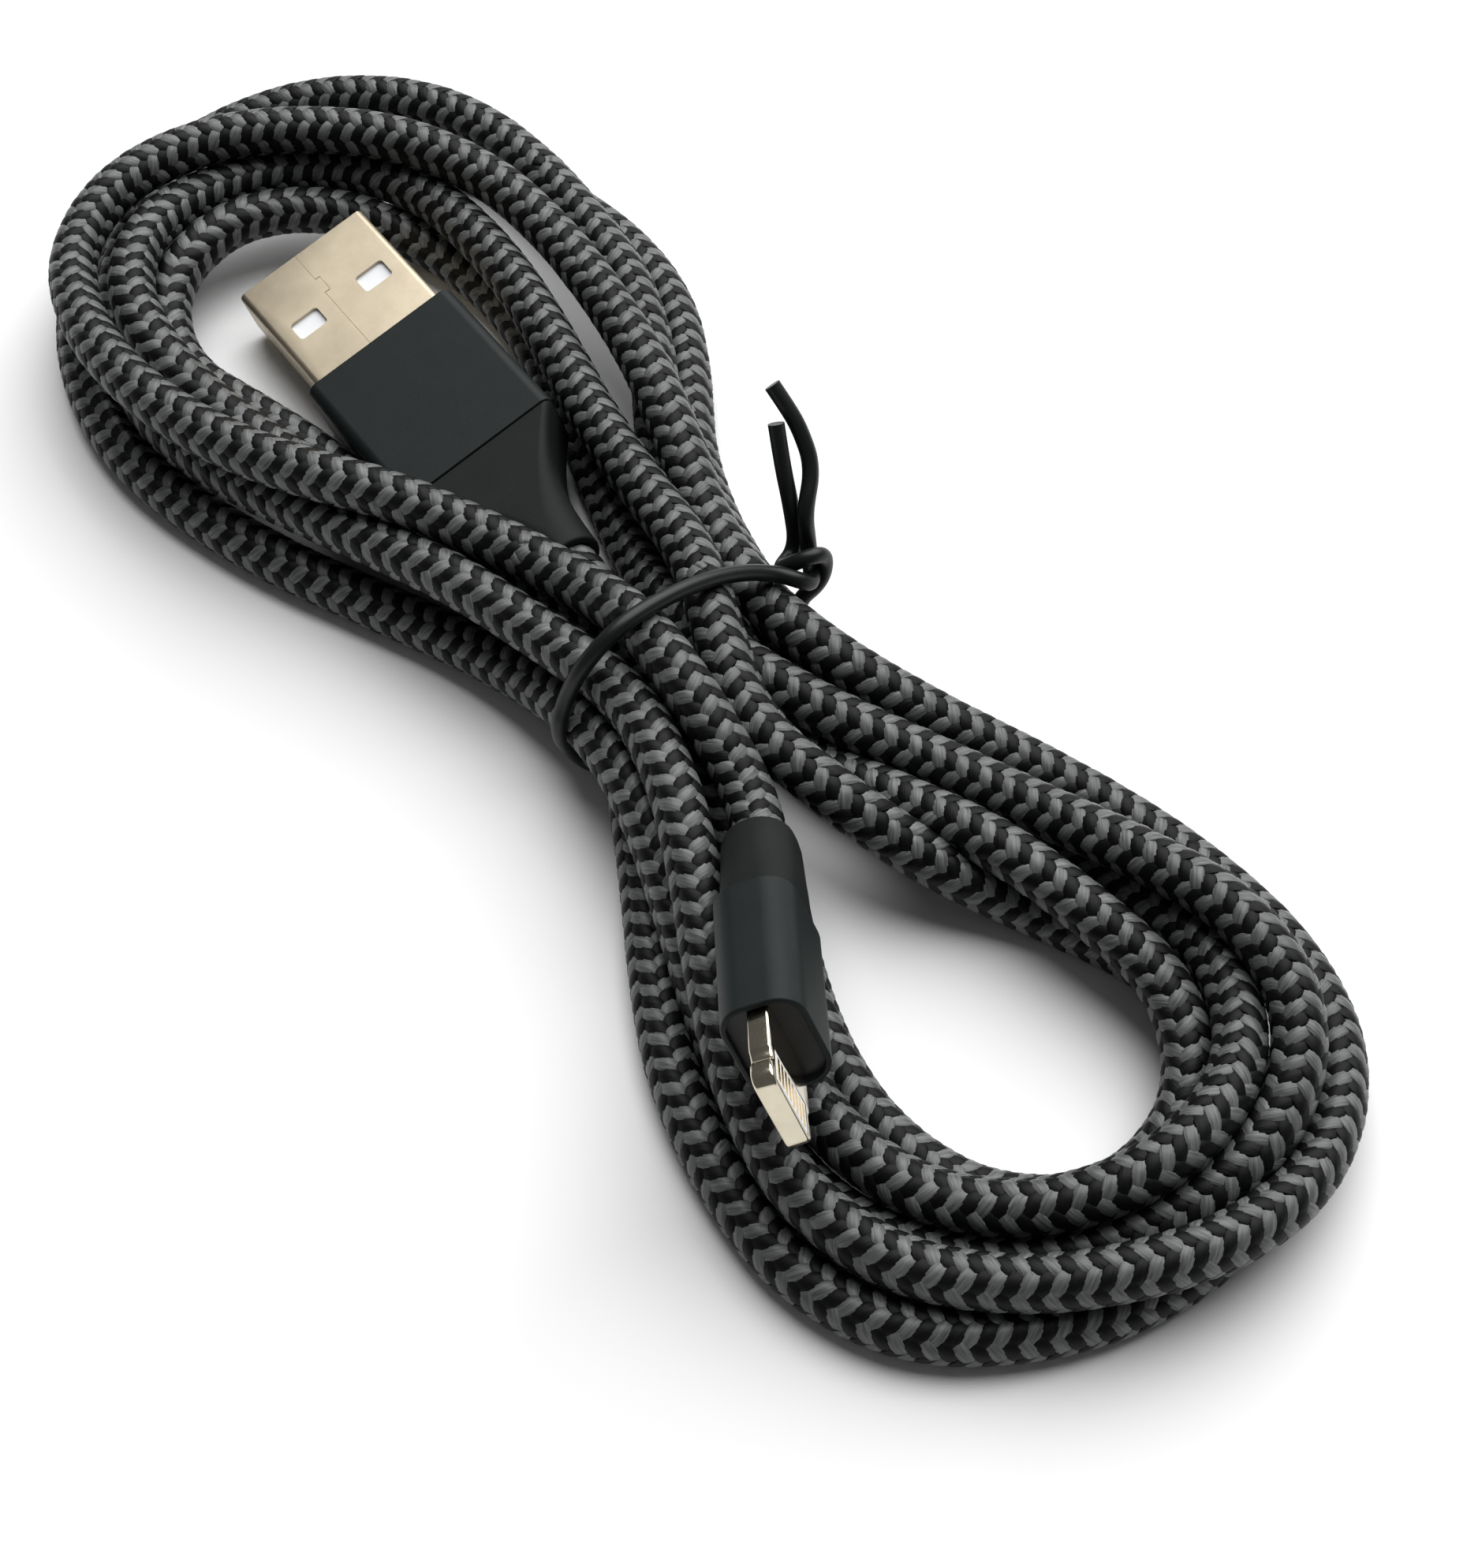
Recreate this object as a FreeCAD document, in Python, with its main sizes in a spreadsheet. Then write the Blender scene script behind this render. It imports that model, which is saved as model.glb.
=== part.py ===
import FreeCAD, Part
import os
import math

# Charging cable, tied up for storage: a braided cord folded into a figure of eight hank, a wide
# flat plug on one end, a slim reversible plug on the other, and a coated wire twist tie round
# the waist. Millimetres. X runs along the hank, Z is up, z = 0 is the surface it lies on and
# the origin is the middle of its footprint.

V = FreeCAD.Vector
doc = FreeCAD.newDocument("charging_cable")
sheet = doc.addObject("Spreadsheet::Sheet", "sheet")

# ---------------------------------------------------------------- driving sizes
SIZES = [
    ("cord_d", 3.84), ("core_d", 3.0), ("lead_d", 0.9), ("lead_slim_d", 0.66),
    # wide plug: metal shell, origin in the middle of its open end, x towards the open end
    ("shell_w", 12.0), ("shell_t", 4.5), ("shell_wall", 0.3), ("shell_len", 16.2), ("shell_out", 12.55),
    ("win_near", 5.6), ("win_len", 2.0), ("win_in", 1.9), ("win_out", 4.5),
    ("tongue_w", 10.8), ("tongue_low", 0.11), ("tongue_front", 0.6), ("tongue_back", 10.0),
    ("pin_w", 1.0), ("pin_t", 0.3), ("pin_data_y", 1.0), ("pin_power_y", 3.5),
    ("pin_power_front", 1.5), ("pin_data_front", 2.5),
    ("house_w", 13.8), ("house_t", 6.2), ("house_len", 14.65), ("house_rad", 0.9),
    ("mould_w", 11.0), ("mould_t", 4.4), ("mould_len", 4.8),
    ("boot_len", 11.5), ("boot_end_w", 5.2), ("boot_end_t", 5.2), ("seam", 0.12),
    ("crimp_d", 5.0), ("crimp_len", 3.0),
    # slim plug: origin in the middle of the boot's cord end, x towards the tip
    ("sboot_len", 7.9), ("sboot_end_w", 5.4), ("sboot_end_t", 4.9),
    ("shouse_w", 8.0), ("shouse_t", 5.7), ("shouse_len", 11.9), ("shouse_rad", 2.0), ("shouse_wall", 0.4),
    ("tip_w", 6.7), ("tip_t", 1.5), ("tip_out", 5.9), ("tip_in", 4.8), ("tip_corner", 0.9),
    ("field_len", 2.5), ("field_w", 5.1), ("field_front", 0.45),
    ("pad_w", 0.36), ("pad_len", 1.9), ("pad_t", 0.3), ("pad_pitch", 0.6),
    ("notch_d", 1.8), ("notch_deep", 0.28), ("notch_back", 2.1),
    ("board_len", 5.4), ("board_w", 5.2), ("board_t", 0.6),
    ("chip_len", 2.4), ("chip_t", 0.8),
    ("can_w", 6.2), ("can_t", 3.2), ("can_wall", 0.2), ("can_len", 5.7),
    ("scrimp_d", 4.6), ("scrimp_len", 2.4),
    # tie
    ("tie_d", 1.24), ("tie_core_d", 0.5),
    # hank layers
    ("layer_one", 3.9), ("layer_two", 7.7), ("layer_top", 11.6),
]
D = {}
for row, (name, value) in enumerate(SIZES, 1):
    sheet.set("A%d" % row, name)
    sheet.set("B%d" % row, "%g" % value)
    sheet.setAlias("B%d" % row, name)
    D[name] = value
doc.recompute()


def pose(origin, yaw, pitch, roll):
    rot = (FreeCAD.Rotation(V(0, 0, 1), yaw) * FreeCAD.Rotation(V(0, 1, 0), -pitch)
           * FreeCAD.Rotation(V(1, 0, 0), roll))
    return FreeCAD.Placement(origin, rot)


WIDE = pose(V(-44.730, -1.310, 4.340), -180.85, -1.4, -15.0)
SLIM = pose(V(24.947, -7.191, 9.901), -33.38, 15.85, -69.0)

nodes = []


def keep(obj, label, placement=None):
    obj.Label = label
    if placement is not None:
        obj.Placement = placement
    nodes.append(obj)
    return obj


def bind(obj, **props):
    for prop, expr in props.items():
        obj.setExpression(prop.replace("__", "."), expr)
    return obj


def box(name, length, width, height, bx, by, bz):
    """Box whose size and corner are expressions on the sheet."""
    b = doc.addObject("Part::Box", name)
    bind(b, Length=length, Width=width, Height=height,
         Placement__Base__x=bx, Placement__Base__y=by, Placement__Base__z=bz)
    return b


def xcyl(name, radius, length, bx, by="0", bz="0"):
    """Cylinder along +X from (bx, by, bz)."""
    c = doc.addObject("Part::Cylinder", name)
    c.Placement = FreeCAD.Placement(V(0, 0, 0), FreeCAD.Rotation(V(0, 1, 0), 90))
    bind(c, Radius=radius, Height=length,
         Placement__Base__x=bx, Placement__Base__y=by, Placement__Base__z=bz)
    return c


def cut(name, base, tool):
    c = doc.addObject("Part::Cut", name)
    c.Base, c.Tool = base, tool
    return c


def fuse(name, shapes):
    f = doc.addObject("Part::MultiFuse", name)
    f.Shapes = shapes
    return f


def plane_of(body, role):
    for f in body.Origin.OriginFeatures:
        if f.Role == role:
            return f


def rounded(body, name, w, h, r, offset=None, role="YZ_Plane", back=0.0):
    """Sketch of a rounded rectangle centred on the body's X axis.
    w, h, r: (start value, expression). Its dimensions are bound to the sheet."""
    import Sketcher
    sk = body.newObject("Sketcher::SketchObject", name)
    sk.AttachmentSupport = [(plane_of(body, role), "")]
    sk.MapMode = "FlatFace"
    if offset is not None:
        sk.AttachmentOffset = FreeCAD.Placement(V(0, 0, back), FreeCAD.Rotation())
        sk.setExpression("AttachmentOffset.Base.z", offset)
    a, b, c = w[0] / 2.0, h[0] / 2.0, r[0]
    L = lambda x0, y0, x1, y1: sk.addGeometry(Part.LineSegment(V(x0, y0, 0), V(x1, y1, 0)), False)
    A = lambda x, y, t0, t1: sk.addGeometry(
        Part.ArcOfCircle(Part.Circle(V(x, y, 0), V(0, 0, 1), c), math.radians(t0), math.radians(t1)), False)
    g = [L(-a + c, -b, a - c, -b), A(a - c, -b + c, 270, 360), L(a, -b + c, a, b - c), A(a - c, b - c, 0, 90),
         L(a - c, b, -a + c, b), A(-a + c, b - c, 90, 180), L(-a, b - c, -a, -b + c), A(-a + c, -b + c, 180, 270)]
    C = Sketcher.Constraint
    add = sk.addConstraint
    for i in range(0, 8, 2):
        # line end 2 meets the next arc's start 1, and that arc's end 2 the next line's start 1
        add(C("Tangent", g[i], 2, g[i + 1], 1))
        add(C("Tangent", g[i + 1], 2, g[(i + 2) % 8], 1))
    add(C("Horizontal", g[0]))
    add(C("Vertical", g[2]))
    add(C("Equal", g[1], g[3]))
    add(C("Equal", g[3], g[5]))
    add(C("Equal", g[5], g[7]))
    add(C("Symmetric", g[0], 1, g[4], 1, -1, 1))
    iw = add(C("DistanceX", g[6], 1, g[2], 1, w[0]))
    ih = add(C("DistanceY", g[0], 1, g[4], 2, h[0]))
    ir = add(C("Radius", g[1], c))
    for i, nm, e in ((iw, "wide", w[1]), (ih, "tall", h[1]), (ir, "corner", r[1])):
        sk.renameConstraint(i, nm)
        sk.setExpression("Constraints." + nm, e)
    return sk


def pad(body, name, sketch, length, reverse=False):
    p = body.newObject("PartDesign::Pad", name)
    p.Profile = sketch
    p.Reversed = reverse
    p.setExpression("Length", length)
    return p


def pocket(body, name, sketch, length=None, reverse=False, midplane=False):
    p = body.newObject("PartDesign::Pocket", name)
    p.Profile = sketch
    p.Reversed = reverse
    if length is None:
        p.Type = 1
        if midplane:
            p.Midplane = True
    else:
        p.setExpression("Length", length)
    return p


def loft(body, name, sketches):
    f = body.newObject("PartDesign::AdditiveLoft", name)
    f.Profile = sketches[0]
    f.Sections = sketches[1:]
    f.Ruled = False
    return f


def new_body(label, placement):
    b = doc.addObject("PartDesign::Body", label)
    doc.recompute()
    return keep(b, label, placement)


def val(e, n=None):
    return (n if n is not None else D[e], "sheet." + e)


# ================================================================ wide plug
# drawn metal shell with two latch windows in each broad face
b = new_body("wide_plug_shell", WIDE)
s = rounded(b, "shell_outer", val("shell_w"), val("shell_t"), (0.7, "0.7"))
pad(b, "shell_pad", s, "sheet.shell_len", reverse=True)
s = rounded(b, "shell_inner", (D["shell_w"] - 2 * D["shell_wall"], "sheet.shell_w - 2*sheet.shell_wall"),
            (D["shell_t"] - 2 * D["shell_wall"], "sheet.shell_t - 2*sheet.shell_wall"), (0.4, "0.4"))
p = pocket(b, "shell_mouth", s, "sheet.shell_len + 1")
doc.recompute()
for side in (1, -1):
    import Sketcher
    sk = b.newObject("Sketcher::SketchObject", "window_%s" % ("left" if side > 0 else "right"))
    sk.AttachmentSupport = [(plane_of(b, "XY_Plane"), "")]
    sk.MapMode = "FlatFace"
    x1, x0 = -D["win_near"], -D["win_near"] - D["win_len"]
    y0, y1 = (D["win_in"], D["win_out"]) if side > 0 else (-D["win_out"], -D["win_in"])
    q = [(x0, y0), (x1, y0), (x1, y1), (x0, y1)]
    for i in range(4):
        sk.addGeometry(Part.LineSegment(V(q[i][0], q[i][1], 0), V(q[(i + 1) % 4][0], q[(i + 1) % 4][1], 0)), False)
    for i in range(4):
        sk.addConstraint(Sketcher.Constraint("Coincident", i, 2, (i + 1) % 4, 1))
    for i in (0, 2):
        sk.addConstraint(Sketcher.Constraint("Horizontal", i))
        sk.addConstraint(Sketcher.Constraint("Vertical", i + 1))
    k = sk.addConstraint(Sketcher.Constraint("DistanceX", 0, 2, -1, 1, D["win_near"]))
    sk.renameConstraint(k, "near")
    sk.setExpression("Constraints.near", "sheet.win_near")
    k = sk.addConstraint(Sketcher.Constraint("DistanceX", 0, 1, 0, 2, D["win_len"]))
    sk.renameConstraint(k, "long")
    sk.setExpression("Constraints.long", "sheet.win_len")
    if side > 0:
        k = sk.addConstraint(Sketcher.Constraint("DistanceY", -1, 1, 0, 1, D["win_in"]))
        k2 = sk.addConstraint(Sketcher.Constraint("DistanceY", -1, 1, 2, 1, D["win_out"]))
    else:
        k = sk.addConstraint(Sketcher.Constraint("DistanceY", 2, 1, -1, 1, D["win_in"]))
        k2 = sk.addConstraint(Sketcher.Constraint("DistanceY", 0, 1, -1, 1, D["win_out"]))
    sk.renameConstraint(k, "inner")
    sk.setExpression("Constraints.inner", "sheet.win_in")
    sk.renameConstraint(k2, "outer")
    sk.setExpression("Constraints.outer", "sheet.win_out")
    pocket(b, "window_cut_%s" % ("left" if side > 0 else "right"), sk, None, midplane=True)
    doc.recompute()

# contact strips, two long ones for power and two shorter ones for data, in two nodes
roof = "(sheet.shell_t/2 - sheet.shell_wall)"


def strips(name, y, front):
    out = []
    for sgn, tag in (("", "left"), ("-", "right")):
        out.append(box("%s_%s" % (name, tag), "15.9 - %s" % front, "sheet.pin_w", "sheet.pin_t",
                       "-15.9", "%s%s - sheet.pin_w/2" % (sgn, y), "sheet.tongue_low - 0.2"))
    return out


power = strips("power_pin", "sheet.pin_power_y", "sheet.pin_power_front")
data = strips("data_pin", "sheet.pin_data_y", "sheet.pin_data_front")
pw = doc.addObject("Part::Compound", "power_pins")
pw.Links = power
keep(pw, "wide_plug_power_contacts", WIDE)
dt = doc.addObject("Part::Compound", "data_pins")
dt.Links = data
keep(dt, "wide_plug_data_contacts", WIDE)

# white insulator: tongue under the roof of the shell and the block behind it
tongue = box("tongue_plate", "sheet.tongue_back - sheet.tongue_front + 0.5", "sheet.tongue_w",
             "%s - sheet.tongue_low" % roof, "-sheet.tongue_back - 0.5", "-sheet.tongue_w/2", "sheet.tongue_low")
block = box("tongue_block", "sheet.shell_len - sheet.tongue_back", "sheet.tongue_w", "2*%s" % roof,
            "-sheet.shell_len", "-sheet.tongue_w/2", "-%s" % roof)
pin_tool = strips("power_slot", "sheet.pin_power_y", "sheet.pin_power_front") + \
    strips("data_slot", "sheet.pin_data_y", "sheet.pin_data_front")
keep(cut("insulator", fuse("tongue_all", [tongue, block]), fuse("pin_slots", pin_tool)),
     "wide_plug_insulator", WIDE)


# four insulated leads from the cord's core to the contacts, through the inner mould
def lead(name, a, b, dia):
    d = b.sub(a)
    c = doc.addObject("Part::Cylinder", name)
    c.Height = d.Length
    c.setExpression("Radius", "sheet.%s/2" % dia)
    c.Placement = FreeCAD.Placement(a, FreeCAD.Rotation(V(0, 0, 1), d))
    return c


lead_ends = [("red", -3.5, -0.75, 0.55), ("white", -1.0, -0.55, -0.6), ("green", 1.0, 0.55, -0.6), ("black", 3.5, 0.75, 0.55)]
lead_tools = []
for colour, y, ye, ze in lead_ends:
    a, e = V(-26.0, ye, ze), V(-16.5, y, 0)
    lead_tools.append(lead("wide_lead_tool_" + colour, a, e, "lead_d"))
    one = lead("wide_lead_" + colour, a, e, "lead_d")
    # the cylinder's own placement is the lead's route in the plug, so the plug's is put in front
    one.Placement = WIDE.multiply(one.Placement)
    keep(one, "wide_plug_lead_" + colour)
mould_block = box("mould_block", "sheet.mould_len", "sheet.mould_w", "sheet.mould_t",
                  "-sheet.shell_len - sheet.mould_len", "-sheet.mould_w/2", "-sheet.mould_t/2")
keep(cut("inner_mould", mould_block, fuse("lead_tools", lead_tools)), "wide_plug_inner_mould", WIDE)

# outer housing: a sleeve over the shell, the inner mould and the leads
b = new_body("wide_plug_housing", WIDE)
s = rounded(b, "house_outer", val("house_w"), val("house_t"), val("house_rad"), "-sheet.shell_out", back=-12.55)
pad(b, "house_pad", s, "sheet.house_len", reverse=True)
s = rounded(b, "house_slot", val("shell_w"), val("shell_t"), (0.7, "0.7"), "-sheet.shell_out", back=-12.55)
pocket(b, "house_shell_slot", s, "sheet.shell_len - sheet.shell_out")
s = rounded(b, "house_hollow", val("mould_w"), val("mould_t"), (0.01, "0.01"), "-sheet.shell_len", back=-16.2)
pocket(b, "house_mould_pocket", s, "sheet.mould_len + 1.6")
s = rounded(b, "house_rear", val("crimp_d"), (D["crimp_d"] - 0.002, "sheet.crimp_d - 0.002"),
            (D["crimp_d"] / 2 - 0.01, "sheet.crimp_d/2 - 0.01"), "-sheet.shell_len", back=-16.2)
pocket(b, "house_rear_bore", s, "sheet.house_len")
doc.recompute()

# strain relief boot: waisted, from the housing's section down to the cord
b = new_body("wide_plug_boot", WIDE)
bx = "-sheet.shell_out - sheet.house_len"
sec = [
    ("a", 0.0, 13.8 - 0.24, 6.2 - 0.24, 0.8, "sheet.house_w - 2*sheet.seam", "sheet.house_t - 2*sheet.seam"),
    ("b", 2.4, 9.8, 6.0, 1.5, "9.8", "6.0"),
    ("c", 6.2, 6.5, 5.9, 2.5, "6.5", "5.9"),
    ("d", 11.5, 5.2, 5.2, 2.55, "sheet.boot_end_w", "sheet.boot_end_t"),
]
sks = []
for tag, back, w, h, r, we, he in sec:
    off = "%s - %g" % (bx, back) if tag != "d" else "%s - sheet.boot_len" % bx
    sks.append(rounded(b, "boot_" + tag, (w, we), (h, he), (r, "%g" % r), off, back=-27.2 - back))
loft(b, "boot_loft", sks)
doc.recompute()
s = rounded(b, "boot_bore", (D["cord_d"], "sheet.cord_d"), (D["cord_d"] - 0.002, "sheet.cord_d - 0.002"),
            (D["cord_d"] / 2 - 0.01, "sheet.cord_d/2 - 0.01"), "%s + 1" % bx, back=-26.2)
pocket(b, "boot_cord_bore", s, "sheet.boot_len + 2")
s = rounded(b, "boot_seat", (D["crimp_d"], "sheet.crimp_d"), (D["crimp_d"] - 0.002, "sheet.crimp_d - 0.002"),
            (D["crimp_d"] / 2 - 0.01, "sheet.crimp_d/2 - 0.01"), "%s + 1" % bx, back=-26.2)
pocket(b, "boot_crimp_seat", s, "sheet.crimp_len + 4.1")
doc.recompute()

# crimped ferrule that holds the cord, the cord's end and its stripped core
rear = "(-sheet.shell_out - sheet.house_len)"
keep(cut("crimp", xcyl("crimp_out", "sheet.crimp_d/2 - 0.01", "sheet.crimp_len", rear + " - sheet.crimp_len - 3.0"),
         xcyl("crimp_in", "sheet.cord_d/2", "sheet.crimp_len + 2", rear + " - sheet.crimp_len - 4.0")),
     "wide_plug_crimp", WIDE)
one = xcyl("cord_end", "sheet.cord_d/2 - 0.01", "sheet.boot_len - 2.5", rear + " - sheet.boot_len")
keep(cut("cord_end_whole", one, box("cord_end_trim", "1", "10", "10", rear + " + 20", "-5", "-5")),
     "wide_plug_cord_end", WIDE)
one = xcyl("core_end", "sheet.core_d/2", "3.6", rear + " - 2.5")
keep(cut("core_end_whole", one, box("core_end_trim", "1", "10", "10", rear + " + 20", "-5", "-5")),
     "wide_plug_cord_core", WIDE)

# ================================================================ slim plug
front = "(sheet.sboot_len + sheet.shouse_len)"
b = new_body("slim_plug_housing", SLIM)
s = rounded(b, "sh_outer", val("shouse_w"), val("shouse_t"), val("shouse_rad"), "sheet.sboot_len", back=7.9)
pad(b, "sh_pad", s, "sheet.shouse_len")
s = rounded(b, "sh_inner", (7.2, "sheet.shouse_w - 2*sheet.shouse_wall"), (4.9, "sheet.shouse_t - 2*sheet.shouse_wall"),
            (1.6, "sheet.shouse_rad - sheet.shouse_wall"), "sheet.sboot_len", back=7.9)
pocket(b, "sh_through", s, "sheet.shouse_len + 1", reverse=True)
doc.recompute()

# tip: one flat steel frame with a window for the contact field and a latch notch in each edge
b = new_body("tip_plate", SLIM)
nodes.remove(b)
s = rounded(b, "tip_section", val("tip_w"), val("tip_t"), (0.35, "0.35"),
            front + " - sheet.tip_in", back=15.0)
pad(b, "tip_pad", s, "sheet.tip_in + sheet.tip_out")
doc.recompute()
tip_hull = doc.addObject("Part::Box", "tip_hull")
bind(tip_hull, Length="sheet.tip_in + sheet.tip_out", Width="sheet.tip_w", Height="sheet.tip_t",
     Placement__Base__x=front + " - sheet.tip_in", Placement__Base__y="-sheet.tip_w/2", Placement__Base__z="-sheet.tip_t/2")
doc.recompute()
hull_edges = []
for i, e in enumerate(tip_hull.Shape.Edges, 1):
    m = e.CenterOfMass
    if abs(m.z) < 1e-6 and m.x > D["sboot_len"] + D["shouse_len"] and abs(abs(m.y) - D["tip_w"] / 2) < 1e-6:
        hull_edges.append((i, D["tip_corner"], D["tip_corner"]))
hull_round = doc.addObject("Part::Fillet", "tip_hull_round")
hull_round.Base = tip_hull
hull_round.Edges = hull_edges
b.Placement = FreeCAD.Placement()
tip = doc.addObject("Part::Common", "tip_outline")
tip.Base, tip.Tool = b, hull_round
tools = [box("field_window", "sheet.field_len", "sheet.field_w", "4", front + " + sheet.tip_out - sheet.field_front - sheet.field_len",
             "-sheet.field_w/2", "-2")]
for sgn, tag in (("", "left"), ("-", "right")):
    c = doc.addObject("Part::Cylinder", "notch_" + tag)
    bind(c, Radius="sheet.notch_d/2", Height="4", Placement__Base__x=front + " + sheet.tip_out - sheet.notch_back",
         Placement__Base__y="%s(sheet.tip_w/2 + sheet.notch_d/2 - sheet.notch_deep)" % sgn, Placement__Base__z="-2")
    tools.append(c)
keep(cut("tip_frame", tip, fuse("tip_tools", tools)), "slim_plug_tip_frame", SLIM)


# eight contact pads on each face of the tip
def pads(name, upper):
    out = []
    for i in range(8):
        out.append(box("%s_%d" % (name, i + 1), "sheet.pad_len", "sheet.pad_w", "sheet.pad_t",
                       front + " + sheet.tip_out - sheet.field_front - 0.3 - sheet.pad_len",
                       "%g*sheet.pad_pitch - sheet.pad_w/2" % (i - 3.5),
                       "sheet.tip_t/2 - sheet.pad_t" if upper else "-sheet.tip_t/2"))
    return out


for tag, upper in (("upper", True), ("lower", False)):
    c = doc.addObject("Part::Compound", "pads_" + tag)
    c.Links = pads("pad_" + tag, upper)
    keep(c, "slim_plug_contacts_" + tag, SLIM)
field = box("field_body", "sheet.field_len", "sheet.field_w", "sheet.tip_t - 0.04",
            front + " + sheet.tip_out - sheet.field_front - sheet.field_len", "-sheet.field_w/2", "-sheet.tip_t/2 + 0.02")
keep(cut("field", field, fuse("pad_slots", pads("slot_upper", True) + pads("slot_lower", False))),
     "slim_plug_insulator", SLIM)

# circuit board behind the tip, with its chip, inside a metal can
keep(cut("board_whole", box("board", "sheet.board_len", "sheet.board_w", "sheet.board_t",
                            front + " - sheet.tip_in - sheet.board_len", "-sheet.board_w/2", "-sheet.board_t/2"),
         box("board_trim", "1", "1", "1", "90", "0", "0")), "slim_plug_board", SLIM)
keep(cut("chip_whole", box("chip", "sheet.chip_len", "sheet.chip_len", "sheet.chip_t",
                           front + " - sheet.tip_in - 3.4", "-sheet.chip_len/2", "sheet.board_t/2"),
         box("chip_trim", "1", "1", "1", "90", "0", "0")), "slim_plug_chip", SLIM)
can_out = box("can_out", "sheet.can_len", "sheet.can_w", "sheet.can_t", front + " - sheet.tip_in - sheet.can_len",
              "-sheet.can_w/2", "-sheet.can_t/2")
can_in = box("can_in", "sheet.can_len + 2", "sheet.can_w - 2*sheet.can_wall", "sheet.can_t - 2*sheet.can_wall",
             front + " - sheet.tip_in - sheet.can_len - 1", "-sheet.can_w/2 + sheet.can_wall", "-sheet.can_t/2 + sheet.can_wall")
keep(cut("can", can_out, can_in), "slim_plug_shield_can", SLIM)

# inner mould that holds the tip, its front set back from the housing's rim
b = new_body("mould_plug", SLIM)
nodes.remove(b)
s = rounded(b, "sm_section", (7.2, "sheet.shouse_w - 2*sheet.shouse_wall"), (4.9, "sheet.shouse_t - 2*sheet.shouse_wall"),
            (1.6, "sheet.shouse_rad - sheet.shouse_wall"), front + " - sheet.tip_in", back=15.0)
pad(b, "sm_pad", s, "sheet.tip_in - 0.55")
doc.recompute()
b.Placement = FreeCAD.Placement()
b2 = new_body("mould_slot", SLIM)
nodes.remove(b2)
s = rounded(b2, "sm_slot", val("tip_w"), val("tip_t"), (0.35, "0.35"),
            front + " - sheet.tip_in - 1", back=14.0)
pad(b2, "sm_slot_pad", s, "sheet.tip_in + 4")
doc.recompute()
b2.Placement = FreeCAD.Placement()
keep(cut("slim_mould", b, b2), "slim_plug_inner_mould", SLIM)

# boot: a short tapered sleeve whose neck sits inside the housing
b = new_body("slim_plug_boot", SLIM)
sec = [("a", 0.0, 5.4, 4.9, 2.3, "sheet.sboot_end_w", "sheet.sboot_end_t"),
       ("b", 2.8, 6.05, 5.1, 2.2, "6.05", "5.1"),
       ("c", 5.6, 7.0, 5.3, 2.1, "7.0", "5.3"),
       ("d", 7.9, 7.7, 5.5, 1.9, "sheet.shouse_w - 0.3", "sheet.shouse_t - 0.2")]
sks = []
for tag, fwd, w, h, r, we, he in sec:
    sks.append(rounded(b, "sboot_" + tag, (w, we), (h, he), (r, "%g" % r),
                       "%g" % fwd if tag != "d" else "sheet.sboot_len", back=fwd))
loft(b, "sboot_loft", sks)
doc.recompute()
s = rounded(b, "sboot_neck", (7.2, "sheet.shouse_w - 2*sheet.shouse_wall"), (4.9, "sheet.shouse_t - 2*sheet.shouse_wall"),
            (1.6, "sheet.shouse_rad - sheet.shouse_wall"), "sheet.sboot_len", back=7.9)
pad(b, "sboot_neck_pad", s, "1.2")
doc.recompute()
s = rounded(b, "sboot_bore", (D["cord_d"], "sheet.cord_d"), (D["cord_d"] - 0.002, "sheet.cord_d - 0.002"),
            (D["cord_d"] / 2 - 0.01, "sheet.cord_d/2 - 0.01"), "-1", back=-1)
pocket(b, "sboot_cord_bore", s, "14", reverse=True)
s = rounded(b, "sboot_seat", (D["scrimp_d"] - 0.4, "sheet.scrimp_d - 0.4"), (D["scrimp_d"] - 0.402, "sheet.scrimp_d - 0.402"),
            ((D["scrimp_d"] - 0.4) / 2 - 0.01, "(sheet.scrimp_d - 0.4)/2 - 0.01"), "sheet.sboot_len - 3.0", back=4.9)
pocket(b, "sboot_crimp_seat", s, "8", reverse=True)
doc.recompute()
keep(cut("scrimp", xcyl("scrimp_out", "sheet.scrimp_d/2 - 0.21", "sheet.scrimp_len", "sheet.sboot_len - 2.9"),
         xcyl("scrimp_in", "sheet.cord_d/2 + 0.01", "sheet.scrimp_len + 2", "sheet.sboot_len - 4")),
     "slim_plug_crimp", SLIM)
one = xcyl("scord_end", "sheet.cord_d/2 - 0.01", "sheet.sboot_len - 0.4", "0")
keep(cut("scord_whole", one, box("scord_trim", "1", "1", "1", "90", "0", "0")), "slim_plug_cord_end", SLIM)
one = xcyl("score_end", "sheet.core_d/2", "1.4", "sheet.sboot_len - 0.4")
keep(cut("score_whole", one, box("score_trim", "1", "1", "1", "90", "0", "0")), "slim_plug_cord_core", SLIM)
for colour, y, z in (("red", 0.85, 0.66), ("white", -0.85, 0.66), ("green", 0.85, -0.66), ("black", -0.85, -0.66)):
    one = lead("slim_lead_" + colour, V(D["sboot_len"] + 1.05, y, z), V(D["sboot_len"] + 3.0, y, z), "lead_slim_d")
    one.Placement = SLIM.multiply(one.Placement)
    keep(one, "slim_plug_lead_" + colour)


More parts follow.
